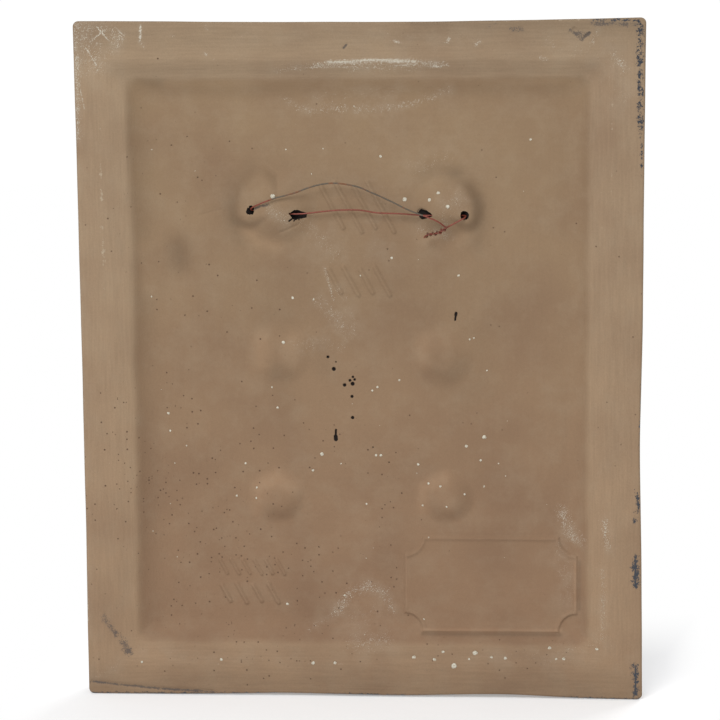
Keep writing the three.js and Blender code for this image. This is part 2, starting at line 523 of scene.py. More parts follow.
@dataclass(frozen=True)
class ToolMarks:
    """A row of short raised strokes that all lean one way, like hatching.

    Args:
        x: Place of the row's middle across.
        z: Place of the row's middle upwards.
        pitch: Distance from stroke to stroke.
        lengths: Length of each stroke.
        lean: Lean of the strokes from upright, in degrees.
        width: Half width of a stroke.
        relief: Height of a stroke above the panel.
    """

    x: float
    z: float
    pitch: float
    lengths: tuple[float, ...]
    lean: float = 28.0
    width: float = 0.85
    relief: float = 0.6

    def strokes(self) -> list[Stroke]:
        """The strokes of the row.

        Returns:
            Marks whose strength is their height.
        """
        made = []
        across, up = math.sin(math.radians(self.lean)), math.cos(math.radians(self.lean))
        for index, length in enumerate(self.lengths):
            x = self.x + (index - (len(self.lengths) - 1) / 2) * self.pitch
            half_x, half_z = across * length / 2, up * length / 2
            ends = ((x - half_x, self.z - half_z), (x + half_x, self.z + half_z))
            made.append(Stroke(ends, self.width, self.relief, 3))
        return made


@dataclass(frozen=True)
class Tunnel:
    """A wire's way through a top boss, torn a little wider at its mouths.

    Args:
        outer: Mouth on the outer flank.
        inner: Mouth on the inner flank.
        seed: Seed of the ragged section.
        radius: Radius inside the boss.
        rise: Height of its axis above the panel.
        climb: Slope at which it comes out of the top of the boss at the outer mouth.
        overrun: How far the cutter runs past each mouth.
        flares: How much wider the outer and the inner mouth are.
        mouth_reach: How far into the boss a mouth is torn.
        turning: Where the axis turns upwards before the outer mouth, and how softly.
        roughness: How ragged the wall is.
        oval: How far a mouth is from round.
        cover: Least height of the wall's underside above the panel.
        rings: Rings of vertices along it.
        sides: Vertices in a ring.
    """

    outer: Point
    inner: Point
    seed: int
    radius: float = 1.9
    rise: float = 3.3
    climb: float = 0.95
    overrun: float = 6.0
    flares: Pair = (0.7, 0.7)
    mouth_reach: float = 2.2
    turning: Pair = (3.2, 1.5)
    roughness: float = 0.16
    oval: float = 0.35
    cover: float = 0.15
    rings: int = 34
    sides: int = 20

    def cutter(self, datum: Datum, panel_depth: float) -> tuple[Array, Array]:
        """Makes the closed ragged rod that opens the tunnel.

        Args:
            datum: Where the slab lies.
            panel_depth: Depth of the panel below the rim's plane.

        Returns:
            Points in row millimetres, and triangles.
        """
        stations, sides, reach = self.rings, self.sides, self.mouth_reach
        rng = np.random.default_rng(self.seed)
        start, end = np.array(self.outer), np.array(self.inner)
        length = float(np.linalg.norm(end - start))
        run = (end - start) / length
        along = np.linspace(-self.overrun, length + self.overrun, stations)
        turn = np.linspace(0, 2 * math.pi, sides, endpoint=False)
        outer, inner = np.exp(-((along / reach) ** 2)), np.exp(-(((along - length) / reach) ** 2))
        mouth = (outer + inner)[:, None]
        ragged = rng.normal(0, self.roughness, (stations, sides)) * (0.4 + 1.4 * mouth)
        ragged += self.oval * np.sin(2 * turn + rng.uniform(0, 6)) * mouth
        flare = self.flares[0] * outer + self.flares[1] * inner
        radius = self.radius + flare[:, None] + ragged
        turns_at, softness = self.turning
        axis = self.rise + self.climb * hinge(turns_at - along, softness)[:, None]
        depth = panel_depth - axis - radius * np.sin(turn)
        sideways = radius * np.cos(turn)
        x = start[0] + run[0] * along[:, None] - run[1] * sideways
        z = start[1] + run[1] * along[:, None] + run[0] * sideways
        rings = datum.to_row(x, z, np.minimum(depth, panel_depth - self.cover))
        points = np.concatenate([rings.reshape(-1, 3), rings[[0, -1]].mean(axis=1)])
        ring = np.arange(sides)
        following = (ring + 1) % sides
        faces = []
        for row in range(stations - 1):
            a, b = row * sides + ring, row * sides + following
            faces += [np.stack([a, b + sides, b], 1), np.stack([a, a + sides, b + sides], 1)]
        first, last = stations * sides, stations * sides + 1
        faces.append(np.stack([np.full(sides, first), ring, following], 1))
        top = (stations - 1) * sides
        faces.append(np.stack([np.full(sides, last), top + following, top + ring], 1))
        return points, np.concatenate(faces)


@dataclass(frozen=True)
class BackRelief:
    """Everything that shapes the back: recess, bosses, cartouche, strokes, dents and pits."""

    recess: Recess = Recess()
    cartouche: Cartouche = Cartouche()
    bosses: tuple[Boss, ...] = (
        Boss(43, 82.6, 21.5, 6.3, 1.3, 24, 8.4, 0.69),
        Boss(-44.3, 82, 18, 6.3, 1.25, 168, 5.3, 0.68),
        Boss(44, 4.2, 18.5, 4.8, 1.25),
        Boss(-43.3, 2.8, 18.5, 4.8, 1.25),
        Boss(46.1, -73.3, 15.8, 4.6, 1.5),
        Boss(-45.1, -73.3, 15.8, 4.6, 1.5),
    )
    tunnels: tuple[Tunnel, ...] = (
        Tunnel((57.8, 81.8), (34.2, 79.4), seed=3, flares=(0.5, 0.9)),
        Tunnel((-55.6, 79), (-32.6, 79.4), seed=8, flares=(0.8, 1.6)),
    )
    rows: tuple[ToolMarks, ...] = (
        ToolMarks(2, 83, 8.6, (30, 25, 30, 25), width=1.1, relief=0.85),
        ToolMarks(1.2, 43.5, 8.4, (17, 14, 17, 14), width=1.2, relief=0.85),
        ToolMarks(60.4, -112.5, 6.2, (9, 8, 9, 8, 9, 8), width=0.85, relief=0.8),
        ToolMarks(62, -127, 8.6, (12, 10, 12, 10), width=1.05, relief=0.95),
    )
    # Round and narrow pits where grog burnt out, as x, z, radius and depth.
    pits: tuple[tuple[float, float, float, float], ...] = (
        (18, 2.6, 0.75, 0.9), (14.9, -3.9, 1, 1.1), (6.3, -10.1, 0.75, 0.9), (4.7, -8.2, 0.65, 0.8),
        (3.8, -9.6, 0.7, 0.8), (4.9, -11.9, 1, 1.1), (9.2, -12.6, 0.9, 1), (5.3, -18.8, 0.8, 0.9),
        (5.1, -30.3, 0.85, 1), (13.7, -0.1, 0.5, 0.5), (-5.7, -46.4, 0.5, 0.5), (-14.3, -54.5, 0.45, 0.5),
        (100, 116, 0.5, 0.4), (86.3, 98.8, 0.5, 0.4), (-14.4, 60.5, 0.45, 0.4), (34.2, 79, 1.7, 0.9),
        (-32.8, 79.9, 2.8, 0.7),
    )
    slots: Strokes = stroke_table(
        (((14.1, -37), (14.3, -40.2)), 0.5, 0.9, 4), (((14.3, -40.6), (14.2, -42.2)), 1, 1, 4),
        (((-50.6, 26.2), (-50.4, 25.2)), 0.75, 0.9, 4), (((-50.4, 25), (-50.1, 22.6)), 0.5, 0.8, 4),
        (((33.8, 78.6), (37.4, 76)), 0.46, 0.8, 4), (((34, 78), (34.8, 76)), 0.42, 0.7, 4),
        (((33, 78), (32.3, 76.6)), 0.4, 0.7, 4), (((33.4, 80.2), (32.9, 81.4)), 0.4, 0.7, 4),
        (((34.9, 79.3), (37.1, 80.1)), 0.42, 0.7, 4),
    )
    # Broad unevenness of the panel: hollows are positive, swellings are negative.
    hollows: Strokes = stroke_table(
        (((96.9, 61), (96, 53)), 8, 0.75), (((106.5, 62), (106.5, 44)), 3, -0.35),
        (((41.4, -12.7), (30, -8)), 9, 0.45), (((-51.6, -12.4), (-38, -12)), 9, 0.5),
        (((52.6, -42.8),), 7, 0.3), (((0.5, -66), (-3, -125)), 8, -0.35),
        (((-108, 42), (-110, -8)), 9, -0.45), (((20, 150), (-60, 147)), 7, 0.3),
        (((85.7, 78.6), (73.9, 81.8)), 0.8, 0.25), (((42.2, 69.7), (32.6, 74)), 0.7, 0.35),
        (((50.4, -0.2),), 1.6, 0.35, 3), (((-43.6, -1.1),), 2, 0.35, 3), (((46.7, -80.2),), 1.8, 0.3, 3),
        (((43.6, 9), (43.6, -2)), 2.6, 0.55), (((43.6, -6), (44.2, -9)), 3.4, 0.6),
        (((-40.5, 1), (-41.5, -7)), 3.6, 0.75), (((46.5, -84), (44, -85.5)), 3, 0.5),
        (((-44, -83.5), (-48, -85)), 3, 0.5), (((-14.9, 92.3), (-14.6, 56)), 0.6, 0.12),
        (((-14.9, 92.3), (18, 93)), 0.6, 0.08),
    )
    # Knocks in the rim's land.
    knocks: Strokes = stroke_table(
        (((-113, 176), (-118, 171)), 1.3, 0.8, 3), (((-118, 171.4), (-120.6, 173.6)), 1.3, 0.9, 3),
        (((-114.5, 174.6), (-119, 175.4)), 2.6, 0.45, 3), (((-110.5, 174.6),), 0.9, 0.4, 3),
        (((7.2, 167.2), (5.6, 168.6)), 0.8, 0.4, 3),
        (((149.5, -174.6), (128.8, -176.9), (107.4, -178.6), (82, -179.6)), 0.9, 0.5),
    )
    uneven: Ripple = Ripple(seed=5, wavelength=62, height=0.16)
    pressed: Ripple = Ripple(seed=6, wavelength=17, height=0.035, waves=12)
    torn: Ripple = Ripple(seed=9, wavelength=2.6, height=0.22, waves=14)
    # How far from a mouth the clay is torn.
    torn_reach: float = 3.4
    # Width beyond the arris over which the panel's own relief sets in.
    onset: float = 9.0

    def pit_strokes(self) -> list[Stroke]:
        """The round pits and the slots as steep-edged marks."""
        round_pits = [Stroke(((x, z),), radius, depth, 4) for x, z, radius, depth in self.pits]
        return [*round_pits, *self.slots]

    def mouths(self) -> list[Stroke]:
        """Soft spots where the clay round the tunnel mouths is torn."""
        ends = [end for tunnel in self.tunnels for end in (tunnel.outer, tunnel.inner)]
        return [Stroke((end,), self.torn_reach) for end in ends]

    def depth(self, x: Array, z: Array) -> Array:
        """Depth below the rim's plane at each point.

        Args:
            x: Places across.
            z: Places upwards.

        Returns:
            The depths.
        """
        inset = self.recess.inset(x, z)
        floor_share = smoothstep(inset, self.recess.band, self.recess.band + self.onset)
        depth = self.recess.depth_at(inset, self.recess.fall(x, z))
        depth += floor_share * (self.uneven.at(x, z) + self.pressed.at(x, z))
        depth += floor_share * summed(self.hollows, x, z)
        for boss in self.bosses:
            depth -= floor_share * boss.rise(x, z)
        depth -= self.cartouche.rise(x, z)
        strokes = [stroke for row in self.rows for stroke in row.strokes()]
        depth -= strongest(strokes, x, z)
        depth += strongest(self.mouths(), x, z) * self.torn.at(x, z)
        depth += strongest(self.pit_strokes(), x, z)
        depth += strongest(self.knocks, x, z)
        return np.maximum(depth, 0)


@dataclass(frozen=True)
class FrontRelief:
    """The decorated front: a plain border round a sunken field of six-petalled rosettes.

    Args:
        thickness: Depth of the border below the rim's plane.
        width: Width of the field.
        height: Height of the field.
        fall: Depth of the field below the border.
        slope: Width of the field's sloping side.
        corner_radius: Radius of the field's corners.
        radius: Radius of a rosette to a petal's tip.
        waist: Radius of a rosette between two petals.
        button: Radius of a rosette's middle.
        relief: Height of a petal above the field.
        petals: Petals of a rosette.
        pitch: Distance between rosettes across and upwards.
        rows: Rows of two rosettes.
        vein: Height of a petal's middle vein, as a share of the relief.
        vein_width: Half width of the vein.
        uneven: Unevenness of the field.
    """

    thickness: float
    width: float = 250.0
    height: float = 314.0
    fall: float = 3.0
    slope: float = 6.5
    corner_radius: float = 8.0
    radius: float = 40.0
    waist: float = 29.0
    button: float = 10.0
    relief: float = 2.4
    petals: int = 6
    pitch: Point = (124.0, 101.0)
    rows: int = 3
    vein: float = 0.18
    vein_width: float = 1.8
    uneven: Ripple = Ripple(seed=21, wavelength=40, height=0.1)

    def rosette(self, x: Array, z: Array) -> Array:
        """Height of one rosette above the field, at points measured from its middle.

        Args:
            x: Places across.
            z: Places upwards.

        Returns:
            The heights.
        """
        distance, angle = np.hypot(x, z), np.arctan2(z, x)
        wave = np.abs(np.cos(self.petals * angle / 2))
        edge = self.waist + (self.radius - self.waist) * wave
        out = np.clip((distance - self.button) / (edge - self.button), 0, 1)
        rise = (0.3 + 0.7 * np.sin(math.pi * out / 2)) * (1 - out**5)
        petal = rise * (0.45 + 0.55 * wave)
        aside = distance * np.sin(angle - self.nearest_turn(angle))
        petal += self.vein * np.exp(-((aside / self.vein_width) ** 2)) * np.sin(math.pi * out) ** 2
        share = np.clip(distance / self.button, 0, 1)
        button = 1.2 * np.sqrt(1 - 0.75 * share**4)
        return self.relief * np.where(distance < self.button, button, petal)

    def nearest_turn(self, angle: Array) -> Array:
        """The direction of the petal that an angle lies in."""
        step = 2 * math.pi / self.petals
        return np.round(angle / step) * step

    def field_inset(self, x: Array, z: Array) -> Array:
        """Distance inwards from the field's outline.

        Args:
            x: Places across.
            z: Places upwards.

        Returns:
            The distances.
        """
        from_x, from_z = self.width / 2 - np.abs(x), self.height / 2 - np.abs(z)
        r = self.corner_radius
        corner = r - np.hypot(np.minimum(from_x - r, 0), np.minimum(from_z - r, 0))
        return np.where((from_x < r) & (from_z < r), corner, np.minimum(from_x, from_z))

    def rise(self, x: Array, z: Array) -> Array:
        """Height of all rosettes above the field.

        Args:
            x: Places across.
            z: Places upwards.

        Returns:
            The heights.
        """
        total = np.zeros_like(x)
        for row in range(self.rows):
            middle_z = (row - (self.rows - 1) / 2) * self.pitch[1]
            for middle_x in (-self.pitch[0] / 2, self.pitch[0] / 2):
                near = np.hypot(x - middle_x, z - middle_z) < self.radius
                total[near] = np.maximum(self.rosette(x[near] - middle_x, z[near] - middle_z), 0)
        return total

    def depth(self, x: Array, z: Array) -> Array:
        """Depth below the rim's plane at each point.

        Args:
            x: Places across.
            z: Places upwards.

        Returns:
            The depths.
        """
        sunk = smoothstep(self.field_inset(x, z), 0, self.slope)
        field_depth = self.thickness - self.fall * sunk
        rise = self.rise(x, z)
        return np.minimum(field_depth + rise + sunk * self.uneven.at(x, z), self.thickness)


# ------------------------------------------------------------------------------ slab mesh


@dataclass(frozen=True)
class Outline:
    """The slab's outline: round corners, and sides that firing has pulled in.

    Args:
        half_x: Half the width.
        half_z: Half the height.
        corner_radius: Radius of the corners.
        low_x: Dips of the side of negative x.
        high_x: Dips of the side of positive x.
        low_z: Dips of the bottom.
        high_z: Dips of the top.
    """

    half_x: float
    half_z: float
    corner_radius: float = 3.0
    low_x: tuple[Sag, ...] = (Sag(10, 150, 0.75), Sag(-44, 40, 1.1), Sag(-90, 70, 0.25))
    high_x: tuple[Sag, ...] = (Sag(0, 110, 0.5), Sag(120, 30, 0.15), Sag(-90, 30, 0.2))
    low_z: tuple[Sag, ...] = (Sag(0, 95, 0.6), Sag(42, 34, 0.9), Sag(-73, 36, 1.6))
    high_z: tuple[Sag, ...] = (Sag(0, 100, 0.7), Sag(-33, 42, 0.6), Sag(46, 50, 0.5), Sag(-96, 60, 0.5))

    def place(self, u: Array, v: Array, inset: float) -> tuple[Array, Array]:
        """Lays a point of the plain rectangle into the outline.

        Args:
            u: Place across on the rectangle.
            v: Place upwards on the rectangle.
            inset: How far the outline is moved in at this depth.

        Returns:
            The place across and upwards.
        """
        r = self.corner_radius
        core_x, core_z = self.half_x - r, self.half_z - r
        over_x = np.clip((np.abs(u) - core_x) / r, 0, 1)
        over_z = np.clip((np.abs(v) - core_z) / r, 0, 1)
        x = np.minimum(np.abs(u), core_x) * (core_x - inset) / core_x
        z = np.minimum(np.abs(v), core_z) * (core_z - inset) / core_z
        x = np.sign(u) * (x + r * over_x * np.sqrt(1 - over_z**2 / 2))
        z = np.sign(v) * (z + r * over_z * np.sqrt(1 - over_x**2 / 2))
        share_x, share_z = u / self.half_x, v / self.half_z
        dip_x = np.where(u > 0, self.dips(self.high_x, v), self.dips(self.low_x, v))
        dip_z = np.where(v > 0, self.dips(self.high_z, u), self.dips(self.low_z, u))
        dip_x *= (1 - share_z**8) * share_x**6
        dip_z *= (1 - share_x**8) * share_z**6
        return x - np.sign(u) * dip_x, z - np.sign(v) * dip_z

    @staticmethod
    def dips(sags: Sequence[Sag], along: Array) -> Array:
        """How far a side is pulled in, with the fine waver of hand-pressed clay."""
        waver = 0.05 * (1 + np.sin(0.11 * along + 2) * np.cos(0.043 * along))
        return waver + sum(sag.at(along) for sag in sags)


@dataclass(frozen=True)
class Sheet:
    """A meshed face of the slab.

    Args:
        x: Each vertex's place across.
        z: Each vertex's place upwards.
        depth: Each vertex's depth.
        triangles: Triangles, anticlockwise as seen from the front.
        rim: Vertices of its edge, in order round the rectangle.
        rim_turn: How far round the rectangle each of them lies, from 0 to 1.
    """

    x: Array
    z: Array
    depth: Array
    triangles: Array
    rim: Array
    rim_turn: Array


@dataclass(frozen=True)
class AdaptiveGrid:
    """Meshes a rectangle with square cells that are split where a layer bends.

    Args:
        half_x: Half the rectangle's width.
        half_z: Half the rectangle's height.
        cell: Size of the widest cells.
        levels: Number of cell sizes, each half the last.
    """

    half_x: float
    half_z: float
    cell: float = 4.0
    levels: int = 5

    @property
    def cells(self) -> tuple[int, int]:
        """Widest cells across and upwards."""
        return round(2 * self.half_x / self.cell), round(2 * self.half_z / self.cell)

    @property
    def finest(self) -> int:
        """Finest steps along the side of a widest cell."""
        return 2 ** (self.levels - 1)

    def bend(self, values: Array) -> Array:
        """How strongly a layer curves in each finest cell, per square millimetre.

        Args:
            values: The layer at every finest point.

        Returns:
            The curvatures.
        """
        step = self.cell / self.finest
        curve = np.zeros_like(values)
        across = np.abs(values[2:] - 2 * values[1:-1] + values[:-2])
        upwards = np.abs(values[:, 2:] - 2 * values[:, 1:-1] + values[:, :-2])
        curve[1:-1] = across
        curve[:, 1:-1] = np.maximum(curve[:, 1:-1], upwards)
        corners = (curve[:-1, :-1], curve[1:, :-1], curve[:-1, 1:], curve[1:, 1:])
        return np.maximum.reduce(corners) / step**2

    @staticmethod
    def pooled(values: Array, block: int) -> Array:
        """The greatest value in each square block."""
        across, upwards = values.shape[0] // block, values.shape[1] // block
        return values.reshape(across, block, upwards, block).max(axis=(1, 3))

    @staticmethod
    def beside(cells: Array) -> tuple[Array, Array, Array, Array]:
        """Each cell's neighbours below, to the right, above and to the left."""
        wide = np.pad(cells, 1)
        return wide[1:-1, :-2], wide[2:, 1:-1], wide[1:-1, 2:], wide[:-2, 1:-1]

    def splits(self, bend: Array) -> list[Array]:
        """Which cells are split at each level, with neighbours at most one level apart.

        Args:
            bend: Curvature of each finest cell.

        Returns:
            A mask of cells for each level.
        """
        made = [np.zeros(bend.shape, bool)]
        for level in reversed(range(self.levels - 1)):
            block = 2 ** (self.levels - 1 - level)
            size = self.cell / 2**level
            split = self.pooled(bend, block) * size**2 / 8 > 1
            if level < self.levels - 2:
                below = made[0]
                near = np.logical_or.reduce((below, *self.beside(below)))
                split |= self.pooled(near, 2)
            made.insert(0, split)
        return made

    def mesh(self, place: Callable, depth_of: Callable, layers: Callable) -> Sheet:
        """Makes the sheet.

        Args:
            place: Lays the rectangle's points into the slab's outline.
            depth_of: Depth at points of the slab.
            layers: From places and depth, the layers that decide the splits, each over its
                tolerance.

        Returns:
            The meshed face.
        """
        across, upwards = (count * self.finest for count in self.cells)
        u, v = np.meshgrid(
            np.linspace(-self.half_x, self.half_x, across + 1),
            np.linspace(-self.half_z, self.half_z, upwards + 1),
            indexing="ij",
        )
        x, z = place(u, v)
        depth = depth_of(x, z)
        bend = np.maximum.reduce([self.bend(layer) for layer in layers(x, z, depth)])
        splits = self.splits(bend)
        row = upwards + 1
        faces = []
        for level, split in enumerate(splits):
            parent = splits[level - 1] if level else None
            there = np.ones(self.cells, bool) if parent is None else parent.repeat(2, 0).repeat(2, 1)
            i, j = np.nonzero(there & ~split)
            stride = 2 ** (self.levels - 1 - level)
            middle = [side[i, j] for side in self.beside(split)]
            faces += self.cell_faces(i * stride, j * stride, stride, middle, depth, row)
        keys = np.concatenate(faces)
        used, triangles = np.unique(keys, return_inverse=True)
        i, j = used // row, used % row
        turn = np.select(
            [j == 0, i == across, j == upwards, i == 0],
            [i, across + j, 2 * across + upwards - i, 2 * across + 2 * upwards - j],
            -1,
        )
        turn[0] = 0
        rim = np.nonzero(turn >= 0)[0]
        rim = rim[np.argsort(turn[rim])]
        return Sheet(
            x.ravel()[used],
            z.ravel()[used],
            depth.ravel()[used],
            triangles.reshape(-1, 3),
            rim,
            turn[rim] / (2 * across + 2 * upwards),
        )

    @staticmethod
    def cell_faces(i: Array, j: Array, stride: int, middle: list, depth: Array, row: int) -> list:
        """Cuts the cells of one level into triangles.

        Args:
            i: Each cell's first step across.
            j: Each cell's first step upwards.
            stride: Finest steps along a cell's side.
            middle: Whether the neighbour below, right, above or left needs a middle vertex.
            depth: Depth at every finest point.
            row: Finest points in one column.

        Returns:
            Arrays of triangles as keys of finest points.
        """

        def key(across: Array, upwards: Array) -> Array:
            """The numbers of finest points."""
            return across * row + upwards

        corners = [(i, j), (i + stride, j), (i + stride, j + stride), (i, j + stride)]
        a, b, c, d = (key(*corner) for corner in corners)
        plain = ~np.logical_or.reduce(middle)
        flat = depth.ravel()
        rising = np.abs(flat[a] - flat[c]) <= np.abs(flat[b] - flat[d])
        faces = []
        for chosen, order in ((plain & rising, (a, b, c, d)), (plain & ~rising, (b, c, d, a))):
            p, q, r, s = (corner[chosen] for corner in order)
            faces += [np.stack([p, q, r], 1), np.stack([p, r, s], 1)]
        half = stride // 2
        centre = key(i + half, j + half)
        for side, (start, end) in enumerate(zip(corners, corners[1:] + corners[:1])):
            first, last = key(*start), key(*end)
            between = key((start[0] + end[0]) // 2, (start[1] + end[1]) // 2)
            whole, halved = ~plain & ~middle[side], ~plain & middle[side]
            faces.append(np.stack([centre[whole], first[whole], last[whole]], 1))
            faces.append(np.stack([centre[halved], first[halved], between[halved]], 1))
            faces.append(np.stack([centre[halved], between[halved], last[halved]], 1))
        return faces


def zipped(first: Array, first_turn: Array, second: Array, second_turn: Array) -> Array:
    """Joins two closed loops of vertices with a band of triangles.

    Args:
        first: Vertices of the loop nearer the wall.
        first_turn: How far round each of them lies, starting at 0.
        second: Vertices of the loop nearer the front.
        second_turn: How far round each of them lies, starting at 0.

    Returns:
        Triangles that face away from the slab's middle.
    """
    a, b = np.append(first, first[0]), np.append(second, second[0])
    a_turn, b_turn = np.append(first_turn, 1.0), np.append(second_turn, 1.0)
    apex_b = np.searchsorted(b_turn, a_turn[1:], side="left") - 1
    apex_a = np.searchsorted(a_turn, b_turn[1:], side="right") - 1
    along_first = np.stack([a[:-1], a[1:], b[apex_b]], 1)
    along_second = np.stack([b[1:], b[:-1], a[apex_a]], 1)
    return np.concatenate([along_first, along_second])


def triangle_mesh(name: str, points: Array, triangles: Array) -> bpy.types.Mesh:
    """Makes a mesh from arrays of points and triangles.

    Args:
        name: The mesh's name.
        points: Its vertices.
        triangles: Vertex numbers of its faces.

    Returns:
        The mesh.
    """
    mesh = bpy.data.meshes.new(name)
    mesh.vertices.add(len(points))
    mesh.vertices.foreach_set("co", points.astype(np.float32).ravel())
    mesh.loops.add(3 * len(triangles))
    mesh.loops.foreach_set("vertex_index", triangles.astype(np.int32).ravel())
    mesh.polygons.add(len(triangles))
    mesh.polygons.foreach_set("loop_start", np.arange(0, 3 * len(triangles), 3, dtype=np.int32))
    mesh.update(calc_edges=True)
    return mesh


def linked(name: str, mesh: bpy.types.Mesh) -> bpy.types.Object:
    """Puts a mesh into the scene as an object at the origin.

    Args:
        name: The object's name.
        mesh: Its mesh.

    Returns:
        The object.
    """
    made = bpy.data.objects.new(name, mesh)
    bpy.context.scene.collection.objects.link(made)
    return made


def evaluated_mesh(source: bpy.types.Object) -> bpy.types.Mesh:
    """The mesh that an object's modifiers make, as a plain mesh of its own."""
    graph = bpy.context.evaluated_depsgraph_get()
    return bpy.data.meshes.new_from_object(source.evaluated_get(graph), depsgraph=graph)


